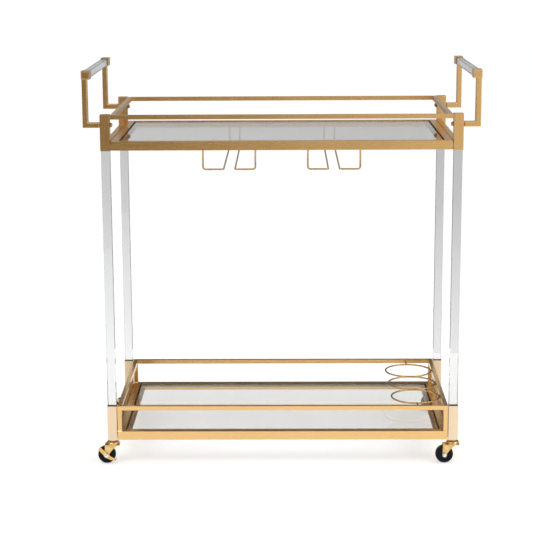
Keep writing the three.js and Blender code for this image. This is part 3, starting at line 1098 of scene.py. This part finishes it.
@dataclass
class Tray:
    """A mitred tube frame with its ledge, gasket and glass."""

    level: Level
    rail: float = 17.0 * MM
    spacer: float = 5.5 * MM
    rail_edge: float = 3.0 * MM
    ledge_width: float = 14.7 * MM
    ledge_edge: float = 0.4 * MM
    gasket: float = 2.7 * MM
    gasket_edge: float = 0.7 * MM
    arris: float = 0.8 * MM

    def build(self) -> None:
        """Builds the frame, ledge, gasket and glass."""
        self.rails()
        self.ledge()
        self.seal()
        self.glass()

    def node(self, label: str) -> str:
        """The name of one of this tray's nodes."""
        return f"{self.level.value}_{label}"

    def rails(self) -> None:
        """The mitred tube frame, with a round spacer at each end of its long sides."""
        node = self.node("tray_frame")
        low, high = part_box(node)
        inner_low, inner_high = low + SPACER_STEP, high - SPACER_STEP
        piece = hoop(f"tray_rails_{self.level.value}", inner_low, inner_high, self.rail)
        piece.finish(self.rail_edge, 4)
        rule = grain_of_ring(inner_high.x, inner_high.y)
        piece.dress([GOLD.material(Axis.X), GOLD.material(Axis.Y)], rule)
        places = [(0, sy * (high.y - self.rail / 2), (low.z + high.z) / 2) for sy in (-1, 1)]
        spacers = end_spacers(places, self.spacer, inner_high.x, high.x)
        piece.absorb(*spacers).deliver(Slot.GOLD, node)

    def ledge(self) -> None:
        """The flat strip inside the frame that carries the glass."""
        node = self.node("glass_ledge")
        low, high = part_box(node)
        piece = hoop(f"glass_ledge_{self.level.value}", low, high, self.ledge_width)
        piece.finish(self.ledge_edge, 2)
        rule = grain_of_ring(high.x, high.y)
        # The ledge's darker gold is painted shade.
        shaded_finishes = [SHADED_LEDGE_GOLD.material(Axis.X), SHADED_LEDGE_GOLD.material(Axis.Y)]
        piece.dress(shaded_finishes, rule).deliver(Slot.GOLD, node)

    def seal(self) -> None:
        """The black strip between the glass and the frame."""
        node = self.node("glass_gasket")
        low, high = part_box(node)
        piece = hoop(f"glass_seal_{self.level.value}", low, high, self.gasket, mitres=False)
        piece.finish(self.gasket_edge, 3).dress([RUBBER.material()]).deliver(Slot.GASKET, node)

    def glass(self) -> None:
        """The glass panel, with ground and chamfered edges."""
        node = self.node("glass_shelf")
        low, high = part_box(node)
        piece = Workpiece.block(f"glass_panel_{self.level.value}", low, high)
        piece.finish(self.arris, 2)

        def is_edge(_: Vector, normal: Vector) -> int:
            """1 on the ground edges, 0 on the two large faces and their chamfers."""
            return int(abs(normal.z) < 0.5)

        # The ground edges carry the gold tint, a painted reflection of the frame.
        piece.dress([GLASS.material(), GOLD_TINTED_GLASS_EDGE.material()], is_edge).deliver(Slot.GLASS, node)


@dataclass
class GuardRails:
    """The guard rail between the upper sleeves and the one that stands on the lower tray."""

    bar: float = 10.0 * MM
    spacer: float = 3.2 * MM
    edge: float = 1.1 * MM
    foot_height: float = 1.2 * MM
    foot_flare: float = 1.16

    def build(self) -> None:
        """Builds both rails."""
        self.upper()
        self.lower()

    def upper(self) -> None:
        """The upper rail, with spacers to the sleeves at its corners."""
        low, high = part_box("upper_guard_rail")
        inner_low, inner_high = low + SPACER_STEP, high - SPACER_STEP
        piece = hoop("guard_rail_upper", inner_low, inner_high, self.bar).finish(self.edge, 3)
        rule = grain_of_ring(inner_high.x, inner_high.y)
        piece.dress([GOLD.material(Axis.X), GOLD.material(Axis.Y)], rule)
        places = [(0, sy * (high.y - self.bar / 2), (low.z + high.z) / 2) for sy in (-1, 1)]
        spacers = end_spacers(places, self.spacer, inner_high.x, high.x)
        piece.absorb(*spacers).deliver(Slot.GOLD, "upper_guard_rail")

    def lower(self) -> None:
        """The lower rail on its four uprights, each with a weld at its foot."""
        low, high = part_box("lower_guard_rail")
        under = high.z - self.bar
        piece = hoop("guard_rail_lower", (low.x, low.y, under), high, self.bar)
        for sign in (-1, 1):
            piece.slice((sign * (high.x - self.bar), 0, 0), Axis.X.unit)
            piece.slice((0, sign * (high.y - self.bar), 0), Axis.Y.unit)
        inner_x, inner_y = high.x - self.bar, high.y - self.bar
        flare = (self.foot_flare, self.foot_flare, 1)
        for corner in Corner:

            def below(place: Vector, normal: Vector) -> bool:
                """Whether a face is this corner's square on the underside."""
                over_x, over_y = place.x * corner.sx > inner_x, place.y * corner.sy > inner_y
                return normal.z < -FACING and over_x and over_y

            middle_x, middle_y = high.x - self.bar / 2, high.y - self.bar / 2
            foot = (corner.sx * middle_x, corner.sy * middle_y, low.z)
            piece.faces(below).extrude((0, 0, low.z + self.foot_height - under))
            piece.extrude((0, 0, -self.foot_height)).resize(flare, foot)
        piece.finish(self.edge, 3)

        def direction(place: Vector, _: Vector) -> int:
            """0, 1 or 2 for bars along X, along Y and upright."""
            sideways = high.x - abs(place.x) < high.y - abs(place.y)
            return 2 if place.z < under else int(sideways)

        piece.dress([GOLD.material(axis) for axis in Axis], direction)
        piece.deliver(Slot.GOLD, "lower_guard_rail")


@dataclass
class Handle:
    """One end's carrying handle: two arms with sockets, and the acrylic grip between them."""

    side: str
    tube: float = 12.0 * MM
    half_width: float = 10.0 * MM
    edge: float = 1.3 * MM
    socket: float = 19.0 * MM
    socket_lip: float = 0.5 * MM
    socket_edge: float = 0.9 * MM
    pocket_wall: float = 1.2 * MM
    socket_wall: float = 4.0 * MM
    cap_border: float = 1.6 * MM
    cap_step: float = 0.2 * MM
    grip_edge: float = 0.8 * MM
    washer_radius: float = 7.6 * MM
    washer_depth: float = 3.0 * MM
    washer_edge: float = 0.25 * MM
    bolt_head: float = 6.0 * MM
    bolt_shank: float = 3.0 * MM

    def build(self) -> None:
        """Builds the arms, their bolts and the grip."""
        for corner in Corner:
            if self.side in corner.label:
                self.arm(corner)
                self.bolt(corner)
        self.grip()

    def arm(self, corner: Corner) -> None:
        """A bent arm: foot, riser, and the socket that holds the grip.

        Args:
            corner: Its corner of the cart.
        """
        node = f"handle_arm_{corner.label}"
        low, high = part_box(node)
        sx = corner.sx
        outer = max(abs(low.x), abs(high.x)) - self.socket_lip
        inner = min(abs(low.x), abs(high.x))
        leg_low, leg_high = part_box(f"leg_post_{corner.label}")
        middle_y = (leg_low.y + leg_high.y) / 2
        elbow = Workpiece.block(
            f"handle_arm_{corner.label}_tube",
            (sx * (outer - self.tube), middle_y - self.half_width, low.z),
            (sx * outer, middle_y + self.half_width, low.z + self.tube),
        )
        reach = outer - self.tube - inner - self.washer_depth / 2
        elbow.faces(lambda _, normal: normal.x * sx < -FACING).extrude((-sx * reach, 0, 0))
        rise = high.z - self.socket - low.z - self.tube + self.socket_lip
        elbow.faces(lambda place, normal: normal.z > FACING and abs(place.x) > outer - self.tube)
        elbow.extrude((0, 0, rise))
        elbow.finish(self.edge, 3)

        def direction(place: Vector, _: Vector) -> int:
            """0 on the foot and 1 on the riser, divided at the mitre."""
            return int(place.z - low.z > outer - abs(place.x))

        elbow.dress([GOLD.material(Axis.X), GOLD.material(Axis.Z)], direction)
        washer = self.washer(corner, inner, middle_y, low.z + self.tube / 2)
        elbow.absorb(washer, self.cap(corner, low, high)).deliver(Slot.GOLD, node)

    def washer(self, corner: Corner, inner: float, middle_y: float, middle_z: float) -> Workpiece:
        """The dished washer between a sleeve and the foot of an arm.

        Args:
            corner: Corner of the cart.
            inner: Distance of its inner face from the middle of the cart.
            middle_y: Its centre, front to back.
            middle_z: Its centre in height.

        Returns:
            The washer.
        """
        rim, depth = self.washer_radius, self.washer_depth
        section = [
            (0, inner),
            (rim * 0.94, inner),
            (rim, inner + depth * 0.2),
            (rim * 0.92, inner + depth * 0.55),
            (rim * 0.74, inner + depth),
            (0, inner + depth),
        ]
        flipped = [(radius, corner.sx * place) for radius, place in section]
        washer = Workpiece.turned("washer", flipped, (0, middle_y, middle_z), Axis.X, 32)
        return washer.finish(self.washer_edge, 2).dress([GOLD.material(Axis.Y)])

    def cap(self, corner: Corner, low: Vector, high: Vector) -> Workpiece:
        """The socket at the top of an arm, closed at its outer end.

        Args:
            corner: Corner of the cart.
            low: Lowest corner of the arm's box.
            high: Highest corner of it.

        Returns:
            The socket.
        """
        sx, sy = corner.sx, corner.sy
        outer = max(abs(low.x), abs(high.x))
        far_y, near_y = max(abs(low.y), abs(high.y)), min(abs(low.y), abs(high.y))
        socket = Workpiece.block(
            "socket",
            (sx * (outer - self.socket), sy * near_y, high.z - self.socket),
            (sx * outer, sy * far_y, high.z),
        )
        depth = far_y - near_y - self.socket_wall
        socket.faces(lambda _, normal: normal.y * sy < -FACING).inset(self.pocket_wall)
        socket.extrude((0, sy * depth, 0))
        step = self.cap_step
        socket.faces(lambda place, normal: normal.y * sy > FACING and abs(place.y) > far_y - step)
        socket.inset(self.cap_border).inset(step, -step).inset(step, step)
        return socket.finish(self.socket_edge, 3).dress([GOLD.material(Axis.Y)])

    def bolt(self, corner: Corner) -> None:
        """The handle's bolt, with a domed head and a thin flange on the inside of the sleeve.

        Args:
            corner: Its corner of the cart.
        """
        node = f"handle_bolt_{corner.label}"
        low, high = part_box(node)
        near, far = min(abs(low.x), abs(high.x)), max(abs(low.x), abs(high.x))
        head = (high.z - low.z) / 2
        flange = near + self.bolt_head
        section = [
            (0, near),
            (head * 0.3, near + 0.15 * MM),
            (head * 0.56, near + 0.6 * MM),
            (head * 0.74, near + 1.4 * MM),
            (head * 0.83, near + 2.4 * MM),
            (head * 0.84, near + 4.4 * MM),
            (head * 0.92, near + 4.7 * MM),
            (head, near + 5.0 * MM),
            (head, flange),
            (self.bolt_shank, flange),
            (self.bolt_shank, far),
            (0, far),
        ]
        flipped = [(radius, corner.sx * place) for radius, place in section]
        centre = (0, (low.y + high.y) / 2, (low.z + high.z) / 2)
        piece = Workpiece.turned(f"handle_nut_{corner.label}", flipped, centre, Axis.X, 32)
        piece.finish(smooth=40.0).dress([BOLT_GOLD.material()]).deliver(Slot.BOLT, node)

    def grip(self) -> None:
        """The square acrylic grip, with polished arrises."""
        node = f"handle_grip_{self.side}"
        low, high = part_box(node)
        piece = Workpiece.block(f"acrylic_grip_{self.side}", low, high)
        piece.finish(self.grip_edge, 3).dress([ACRYLIC.material()]).deliver(Slot.ACRYLIC, node)


@dataclass
class StemHangers:
    """The bent wires under the upper tray that wine glasses hang from."""

    wire: float = 4.0 * MM
    bend: float = 6.0 * MM
    weld_height: float = 2.6 * MM
    weld_flare: float = 1.75
    neck_share: float = 0.4
    neck_flare: float = 1.25

    def build(self) -> None:
        """Builds the four wires."""
        for number in (1, 2, 3, 4):
            self.hanger(number)

    def hanger(self, number: int) -> None:
        """One wire: down from the front rail, in, to the back and up.

        Args:
            number: Its place from the left, from 1.
        """
        node = f"stem_hanger_{number}"
        low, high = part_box(node)
        radius = self.wire / 2
        left, right = low.x + radius, high.x - radius
        front, back = low.y + radius, high.y - radius
        bottom, top = low.z + radius, high.z
        outer, inner = (left, right) if number % 2 else (right, left)
        points = [
            Vector((outer, front, top)),
            Vector((outer, front, bottom)),
            Vector((inner, front, bottom)),
            Vector((inner, back, bottom)),
            Vector((inner, back, top)),
        ]
        piece = bent_wire(f"glass_hanger_{number}", points, self.wire, self.bend)
        neck = top - self.weld_height * self.neck_share
        near = 1.5 * self.wire
        for end in (points[0], points[-1]):
            piece.slice((0, 0, top - self.weld_height), Axis.Z.unit)
            piece.slice((0, 0, neck), Axis.Z.unit)
            for height, flare in ((top, self.weld_flare), (neck, self.neck_flare)):
                piece.corners(
                    lambda place: abs(place.z - height) < SAME_PLACE and (place - end).length < near
                )
                piece.resize((flare, flare, 1), (end.x, end.y, height))
        piece.finish(smooth=WIRE_SMOOTH).dress([WIRE_GOLD.material(Axis.Y)]).deliver(Slot.GOLD, node)


@dataclass
class BottleRings:
    """The row of three wire rings over the lower tray, held by a tab at each end."""

    wire: float = 4.1 * MM
    ring: float = 57.25 * MM
    pitch: float = 116.5 * MM
    bead: float = 2.6 * MM
    foot: float = 1.6 * MM
    foot_flare: float = 1.5

    def build(self) -> None:
        """Builds the rack as one welded piece."""
        node = "bottle_ring_rack"
        low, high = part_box(node)
        centre = (low + high) / 2
        rings = [self.hoop_at(centre + Axis.Y.unit * step * self.pitch) for step in (-1, 0, 1)]
        rack = rings[0].absorb(*rings[1:])
        rack.obj.name = "bottle_rings"
        welds = []
        for sy in (-1, 1):
            start = Vector((centre.x, sy * (self.pitch + self.ring), centre.z))
            touch = Vector((centre.x, sy * self.pitch / 2, centre.z))
            end = Vector((centre.x, sy * high.y, centre.z))
            foot = Vector((0, sy * self.foot, 0))
            tab = Workpiece.disc("tab", start, self.wire / 2, Vector((0, -sy, 0)), WIRE_SIDES)
            tab.everything().extrude(end - start - foot)
            tab.extrude(foot).resize((self.foot_flare, 1, self.foot_flare), end)
            welds += [tab.finish(smooth=WIRE_SMOOTH), self.weld_bead(start), self.weld_bead(touch)]
        rack.absorb(*welds)
        rack.dress([WIRE_GOLD.material(Axis.X)]).deliver(Slot.GOLD, node)

    def hoop_at(self, centre: Vector) -> Workpiece:
        """One wire ring.

        Args:
            centre: Its middle.

        Returns:
            The ring.
        """
        start = centre + Vector((self.ring, 0, 0))
        piece = Workpiece.disc("ring", start, self.wire / 2, Axis.Y.unit, WIRE_SIDES).everything()
        bpy.ops.mesh.delete(type="ONLY_FACE")
        piece.everything("EDGE")
        bpy.ops.mesh.spin(steps=72, angle=2 * math.pi, center=centre, axis=Axis.Z.unit)
        return piece.finish(smooth=WIRE_SMOOTH)

    def weld_bead(self, place: Vector) -> Workpiece:
        """A small smooth weld.

        Args:
            place: Its middle.

        Returns:
            The weld.
        """
        steps = 8
        turns = [math.pi * step / steps for step in range(steps + 1)]
        section = [(self.bead * math.sin(turn), -self.bead * math.cos(turn)) for turn in turns]
        return Workpiece.turned("weld", section, place, Axis.X, 14).finish(smooth=WIRE_SMOOTH)


@dataclass
class Caster:
    """A swivel caster: stem with its nut, raceway and fork, axle, wheel, and a brake on the left."""

    corner: Corner
    sheet: float = 1.8 * MM
    sheet_edge: float = 0.5 * MM
    plate_top: float = 46.2 * MM
    plate_front: float = 16.0 * MM
    fork_inner: float = 9.5 * MM
    boss: float = 5.0 * MM
    lead: float = 25.0 * MM
    lead_sweep: float = 1.35
    tail: float = 4.2 * MM
    race: float = 15.5 * MM
    race_hole: float = 4.3 * MM
    pin: float = 4.0 * MM
    rivet: float = 6.5 * MM
    rivet_height: float = 2.0 * MM
    lock_nut: float = 7.5 * MM
    lock_nut_edge: float = 0.6 * MM
    lock_nut_span: tuple[float, float] = (54.6 * MM, 57.7 * MM)
    axle_rod: float = 3.0 * MM
    axle_nut: float = 5.0 * MM
    axle_nut_seat: float = 11.6 * MM
    levered_nut_seat: float = 13.7 * MM
    lever_hole: float = 3.3 * MM
    lever_edge: float = 0.4 * MM
    pedal_end: float = 5.0 * MM

    @property
    def braked(self) -> bool:
        """Whether this caster has a brake."""
        return self.corner.sx < 0

    @property
    def stem(self) -> Vector:
        """The swivel's axis, on the floor."""
        low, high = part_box(f"caster_stem_{self.corner.label}")
        return Vector(((low.x + high.x) / 2, (low.y + high.y) / 2, 0))

    @property
    def axle(self) -> Vector:
        """The middle of the wheel."""
        low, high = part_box(f"caster_wheel_{self.corner.label}")
        return (low + high) / 2

    def build(self) -> None:
        """Builds the caster's pieces."""
        self.stem_and_nut()
        self.fork()
        self.axle_and_nuts()
        self.wheel()
        if self.braked:
            self.brake()

    def stem_and_nut(self) -> None:
        """The kingpin, its rivet, a hexagonal lock nut and the threaded end."""
        node = f"caster_stem_{self.corner.label}"
        low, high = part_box(node)
        rivet, rivet_top = self.rivet, low.z + self.rivet_height
        section = [
            (0, low.z),
            (rivet * 0.6, low.z),
            (rivet * 0.92, low.z + 0.5 * MM),
            (rivet, low.z + 1.2 * MM),
            (rivet, rivet_top),
            (self.pin, rivet_top),
            (self.pin, high.z - 1.0 * MM),
            (self.pin * 0.75, high.z),
            (0, high.z),
        ]
        core = Workpiece.turned(f"caster_pin_{self.corner.label}", section, self.stem, Axis.Z, 28)
        core.finish(smooth=40.0)
        nut_low, nut_high = self.lock_nut_span
        seat = self.stem + Axis.Z.unit * nut_low
        hexagon = Workpiece.disc("nut", seat, self.lock_nut, -Axis.Z.unit, 6).everything()
        hexagon.extrude((0, 0, nut_high - nut_low)).finish(self.lock_nut_edge, 2)
        core.absorb(hexagon).dress([ZINC.material()]).deliver(Slot.BRIGHT, node)

    def fork(self) -> None:
        """The pressed fork, drawn down on both sides of the wheel, under its ball raceway."""
        node = f"caster_fork_{self.corner.label}"
        stem, axle = self.stem, self.axle
        outer = self.fork_inner + self.sheet
        plate_low = Vector((axle.x - self.tail, stem.y - outer, self.plate_top - self.sheet))
        plate_high = Vector((stem.x + self.plate_front, stem.y + outer, self.plate_top))
        piece = Workpiece.block(f"caster_fork_{self.corner.label}_shell", plate_low, plate_high)
        for sign in (-1, 1):
            piece.slice((0, stem.y + sign * self.fork_inner, 0), Axis.Y.unit)
        widest = axle.x + self.lead
        piece.slice((widest, 0, 0), Axis.X.unit)
        under = plate_low.z
        piece.faces(
            lambda place, normal: normal.z < -FACING
            and abs(place.y - stem.y) > self.fork_inner
            and place.x < widest
        )
        drop = under - axle.z
        boss_turns = (math.radians(angle) for angle in (30, 53, 76))
        stations = [self.cheek(axle.z + drop * share, axle.z, drop) for share in (0.75, 0.55, 0.24, 0.0)]
        stations += [
            (axle.z - self.boss * math.sin(turn), self.boss * math.cos(turn), -self.boss * math.cos(turn))
            for turn in boss_turns
        ]
        lead_x, tail_x, here = widest, plate_low.x, under
        for height, lead, tail in stations:
            piece.extrude((0, 0, height - here))
            middle = (lead_x + tail_x) / 2
            piece.resize(((lead - tail) / (lead_x - tail_x), 1, 1), (middle, stem.y, height))
            piece.shift((axle.x + (lead + tail) / 2 - middle, 0, 0))
            lead_x, tail_x, here = axle.x + lead, axle.x + tail, height
        piece.finish(self.sheet_edge, 2, 50.0)
        piece.absorb(self.raceway()).dress([CASTER_GOLD.material()]).deliver(Slot.CASTER_GOLD, node)

    def cheek(self, height: float, axle_height: float, drop: float) -> tuple[float, float, float]:
        """A level line across a cheek of the fork, above the axle.

        Args:
            height: Height of the line.
            axle_height: Height of the axle.
            drop: Height of the plate above the axle.

        Returns:
            The height, and how far the cheek's leading and trailing edges lie from the axle.
        """
        rise = (height - axle_height) / drop
        lead = self.boss + (self.lead - self.boss) * rise**self.lead_sweep
        return height, lead, -(self.boss + (self.tail - self.boss) * rise)

    def raceway(self) -> Workpiece:
        """The two pressed cups that hold the balls, with a groove between them.

        Returns:
            The raceway.
        """
        hole, race = self.race_hole, self.race
        section = [
            (hole, -0.3),
            (race - 2.2 * MM, -0.3),
            (race - 0.7 * MM, 0.6),
            (race, 1.9),
            (race, 2.7),
            (race - 0.5 * MM, 3.2),
            (race - 2.0 * MM, 3.4),
            (race - 2.0 * MM, 4.1),
            (race - 0.6 * MM, 4.3),
            (race - 0.3 * MM, 4.9),
            (race - 0.9 * MM, 5.9),
            (race - 2.6 * MM, 6.9),
            (race - 5.0 * MM, 7.4),
            (race - 6.2 * MM, 7.9),
            (race - 7.4 * MM, 8.1),
            (hole, 8.1),
            (hole, -0.3),
        ]
        raised = [(radius, self.plate_top + height * MM) for radius, height in section]
        return Workpiece.turned("raceway", raised, self.stem, Axis.Z, 48).finish(smooth=34.0)

    def axle_and_nuts(self) -> None:
        """The axle with a washer and a domed nut on each end."""
        node = f"caster_axle_{self.corner.label}"
        low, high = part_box(node)
        nut, half = self.axle_nut, (high.y - low.y) / 2
        rim = self.levered_nut_seat + 0.9 * MM

        def end(start: float) -> list[tuple[float, float]]:
            """A washer and a domed nut, from the rod to the crown.

            Args:
                start: Distance of the washer from the middle of the wheel.

            Returns:
                [radius, distance from the middle of the wheel] at each corner of their outline.
            """
            return [
                (self.axle_rod, start),
                (nut, start),
                (nut, rim),
                (nut * 0.86, rim + 0.15 * MM),
                (nut * 0.86, rim + 1.2 * MM),
                (nut * 0.74, half - 0.9 * MM),
                (nut * 0.5, half - 0.3 * MM),
                (nut * 0.22, half - 0.05 * MM),
                (0, half),
            ]

        front_seat = self.levered_nut_seat if self.braked else self.axle_nut_seat
        front = [(radius, -place) for radius, place in end(front_seat)]
        section = front[::-1] + end(self.axle_nut_seat)
        piece = Workpiece.turned(f"caster_axle_{self.corner.label}_pin", section, self.axle, Axis.Y, 28)
        piece.finish(smooth=40.0).dress([NICKEL.material()]).deliver(Slot.BRIGHT, node)

    def wheel(self) -> None:
        """The moulded wheel: hub, dished web with raised rings, and a crowned tread."""
        node = f"caster_wheel_{self.corner.label}"
        half_section = [
            (3.3, 9.2), (6.1, 9.2), (6.8, 8.7), (7.1, 6.4), (7.9, 5.7), (9.7, 5.6), (10.0, 6.1),
            (10.7, 6.2), (11.1, 5.7), (13.9, 5.6), (14.6, 6.2), (15.0, 7.5), (15.6, 8.0),
            (16.9, 8.0), (17.2, 7.6), (17.7, 7.6), (18.0, 7.95), (18.8, 7.85), (19.9, 7.2),
            (20.6, 6.1), (20.9, 4.4), (21.0, 2.2), (21.0, 0.0),
        ]
        side = [(radius * MM, place * MM) for radius, place in half_section]
        mirrored = [(radius, -place) for radius, place in side]
        section = mirrored[:-1] + side[::-1] + mirrored[:1]
        piece = Workpiece.turned(f"caster_wheel_{self.corner.label}_black", section, self.axle, Axis.Y, 64)
        piece.finish(smooth=32.0).dress([TREAD.material()]).deliver(Slot.WHEEL, node)

    def brake(self) -> None:
        """The foot lever: an eye round the axle, a pedal arm, and a wing that carries the shoe."""
        node = f"brake_lever_{self.corner.label}"
        low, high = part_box(node)
        axle = self.axle
        front = low.y
        shoe_out, shoe_in, reach, eye = 23.8, 22.0, 25.0, 6.2
        shoe_angles = (125, 130, 135, 140, 145)
        outline = [(shoe_out, angle) for angle in shoe_angles]
        outline += [(13.0, 155), (8.2, 169), (eye, 186), (eye, 205), (eye, 225), (eye, 250), (6.6, 275)]
        outline += [(12.0, 304), (reach - 5, 322), (reach - 0.6, 326), (reach, 331), (reach - 0.6, 336)]
        outline += [(reach - 4, 339), (12.5, 343), (7.8, 355), (eye, 15), (eye, 35), (eye, 60), (6.6, 84)]
        outline += [(8.2, 101), (13.0, 115)]
        plate = self.pressing("lever", outline, axle, front, front + self.sheet)
        shoe = [(shoe_out, a) for a in shoe_angles] + [(shoe_in, a) for a in shoe_angles[::-1]]
        pedal = [(reach, 327), (reach, 332), (reach, 337), (reach - 1.8, 337), (reach - 1.8, 327)]
        plate.combine(
            "UNION",
            self.pressing("shoe", shoe, axle, front + OVERLAP, high.y),
            self.pressing("pedal", pedal, axle, front + OVERLAP, axle.y - self.pedal_end),
        )
        plate.drill((axle.x, front, axle.z), Axis.Y, self.lever_hole, 2 * self.sheet)
        plate.obj.name = f"brake_pedal_{self.corner.label}"
        plate.finish(self.lever_edge, 2, 40.0)
        plate.dress([CASTER_GOLD.material()]).deliver(Slot.CASTER_GOLD, node)

    def pressing(
        self, name: str, outline: Sequence[Point], axle: Vector, front: float, back: float
    ) -> Workpiece:
        """A flat pressing, cut to an outline and given its thickness.

        Args:
            name: Name of the piece.
            outline: [radius in millimetres, angle in degrees] about the axle.
            axle: The point that the outline is measured from.
            front: Front face of the sheet.
            back: Back face of it.

        Returns:
            The workpiece.
        """
        points = []
        for radius, degrees in outline:
            turn = math.radians(degrees)
            spoke = Vector((math.cos(turn), 0, math.sin(turn))) * radius * MM
            points.append(Vector((axle.x, front, axle.z)) + spoke)
        piece = Workpiece.path(name, points).fill()
        return piece.edit("FACE").extrude((0, back - front, 0)).weld()


# ---- Studio -------------------------------------------------------------------------------------


@dataclass(frozen=True)
class Card:
    """A glowing card with a soft change of tone, out of the camera's sight.

    Its tones stand at places along one axis. It shows through glass and acrylic, or else is
    mirrored in what is glossy. Left and right are its brightness half a metre from the middle.
    """

    name: str
    low: Point
    high: Point
    along: Axis
    tones: Sequence[tuple[float, Colour]]
    through: bool = False
    left: float = 1.0
    right: float = 1.0

    def build(self) -> None:
        """Builds the card."""
        high_x, high_y, high_z = self.high
        card = Workpiece.block(self.name, self.low, (high_x, high_y + MM, high_z))
        clear_bench()
        recipe = Recipe(self.name).constants({"Base Color": (0.0, 0.0, 0.0, 1.0), "Roughness": 1.0})
        place = recipe.node("ShaderNodeTexCoord").outputs["Object"]
        parts = recipe.node("ShaderNodeSeparateXYZ", Vector=place)
        first, last = self.tones[0][0], self.tones[-1][0]
        share = recipe.spread(parts.outputs[self.along.value], 0.0, 1.0, first, last)
        ramp = recipe.node("ShaderNodeValToRGB", Fac=share)
        while len(ramp.color_ramp.elements) < len(self.tones):
            ramp.color_ramp.elements.new(0.5)
        for element, (where, tone) in zip(ramp.color_ramp.elements, self.tones):
            element.position = (where - first) / (last - first)
            element.color = (*tone, 1.0)
        strength = recipe.spread(parts.outputs["X"], self.left, self.right, -0.5, 0.5)
        card.dress([recipe.feed(Emission_Color=ramp.outputs["Color"], Emission_Strength=strength)])
        card.obj.visible_camera = False
        card.obj.visible_diffuse = False
        card.obj.visible_shadow = False
        card.obj.visible_transmission = self.through
        card.obj.visible_glossy = not self.through


FRONT_TONES = [(-0.75, (0.172, 0.142, 0.095)), (1.3, (0.93, 0.89, 0.81))]
BACK_TONES = [(0.0, even(0.12)), (0.5, even(0.12)), (0.85, even(0.42))]
THROUGH_TONES = [(0.0, even(1.04)), (0.45, even(0.71)), (0.78, even(0.586)), (0.86, even(0.9))]
CARDS = (
    Card("front_card", (-6.0, -2.6, 0.05), (3.2, -2.6, 2.0), Axis.X, FRONT_TONES),
    Card("back_card", (-3.0, 0.85, 0.001), (3.0, 0.85, 3.0), Axis.Z, BACK_TONES),
    Card("through_card", (-3.0, 0.8, 0.001), (3.0, 0.8, 3.0), Axis.Z, THROUGH_TONES, True, 1.04, 0.9),
)


@dataclass
class Studio:
    """The floor, the soft light and the camera."""

    floor_radius: float = 60.0
    sky: float = 0.88
    floor_glow: float = 0.47
    lens: float = 106.6
    eye: tuple[float, float, float] = (0.0111, -3.789, 1.2202)
    pitch: float = 0.2049
    yaw: float = 0.0131
    roll: float = -0.0054

    def build(self) -> None:
        """Builds the studio."""
        bpy.context.scene.view_settings.view_transform = "Standard"
        self.camera()
        self.floor()
        self.world()
        self.lamps()
        for card in CARDS:
            card.build()

    def camera(self) -> None:
        """The camera, in front and a little above."""
        data = bpy.data.cameras.new("camera")
        data.lens = self.lens
        data.sensor_width = 36.0
        data.clip_end = 200.0
        camera = bpy.data.objects.new("camera", data)
        camera.location = self.eye
        turn = Matrix.Rotation(self.yaw, 3, "Z") @ Matrix.Rotation(math.pi / 2 - self.pitch, 3, "X")
        camera.rotation_euler = (turn @ Matrix.Rotation(self.roll, 3, "Z")).to_euler()
        bpy.context.scene.collection.objects.link(camera)
        bpy.context.scene.camera = camera

    def floor(self) -> None:
        """A wide pale floor."""
        disc = Workpiece.disc("floor", (0, 0, -0.0005), self.floor_radius, Axis.Z.unit, 96)
        clear_bench()
        recipe = Recipe("pale_floor").constants(
            {
                "Roughness": 0.9,
                "Specular IOR Level": 0.1,
                "Emission Color": (1.0, 1.0, 1.0, 1.0),
                "Emission Strength": self.floor_glow,
            }
        )
        soft = recipe.noise(3.0)
        colour = recipe.tint(recipe.spread(soft, 0.0, 1.0), even(0.61), even(0.64))
        disc.dress([recipe.feed(Base_Color=colour)])

    def world(self) -> None:
        """An even white surround."""
        world = bpy.data.worlds.new("studio")
        world.use_nodes = True
        background = world.node_tree.nodes["Background"]
        background.inputs["Color"].default_value = (1.0, 1.0, 1.0, 1.0)
        background.inputs["Strength"].default_value = self.sky
        bpy.context.scene.world = world

    def lamps(self) -> None:
        """Two large soft lamps, one above on the left and one on the right."""
        lamps = (
            ("key_lamp", (-1.8, -2.2, 3.0), 1.6, 26.0),
            ("fill_lamp", (2.4, -1.2, 2.4), 1.4, 22.0),
        )
        for name, place, size, power in lamps:
            data = bpy.data.lights.new(name, "AREA")
            data.shape = "SQUARE"
            data.size = size
            data.energy = power
            lamp = bpy.data.objects.new(name, data)
            lamp.location = place
            aim = Vector((0, 0, 0.5)) - Vector(place)
            lamp.rotation_euler = aim.to_track_quat("-Z", "Y").to_euler()
            bpy.context.scene.collection.objects.link(lamp)


def main() -> None:
    """Builds the studio and then the cart, one sub-assembly after another."""
    logging.basicConfig(level=logging.INFO, format="%(name)s: %(message)s")
    Studio().build()
    Legs().build()
    SideBars().build()
    for level in Level:
        Tray(level).build()
    GuardRails().build()
    for side in SIDES:
        Handle(side).build()
    StemHangers().build()
    BottleRings().build()
    for corner in Corner:
        Caster(corner).build()
    clear_bench()


if __name__ == "__main__":
    main()
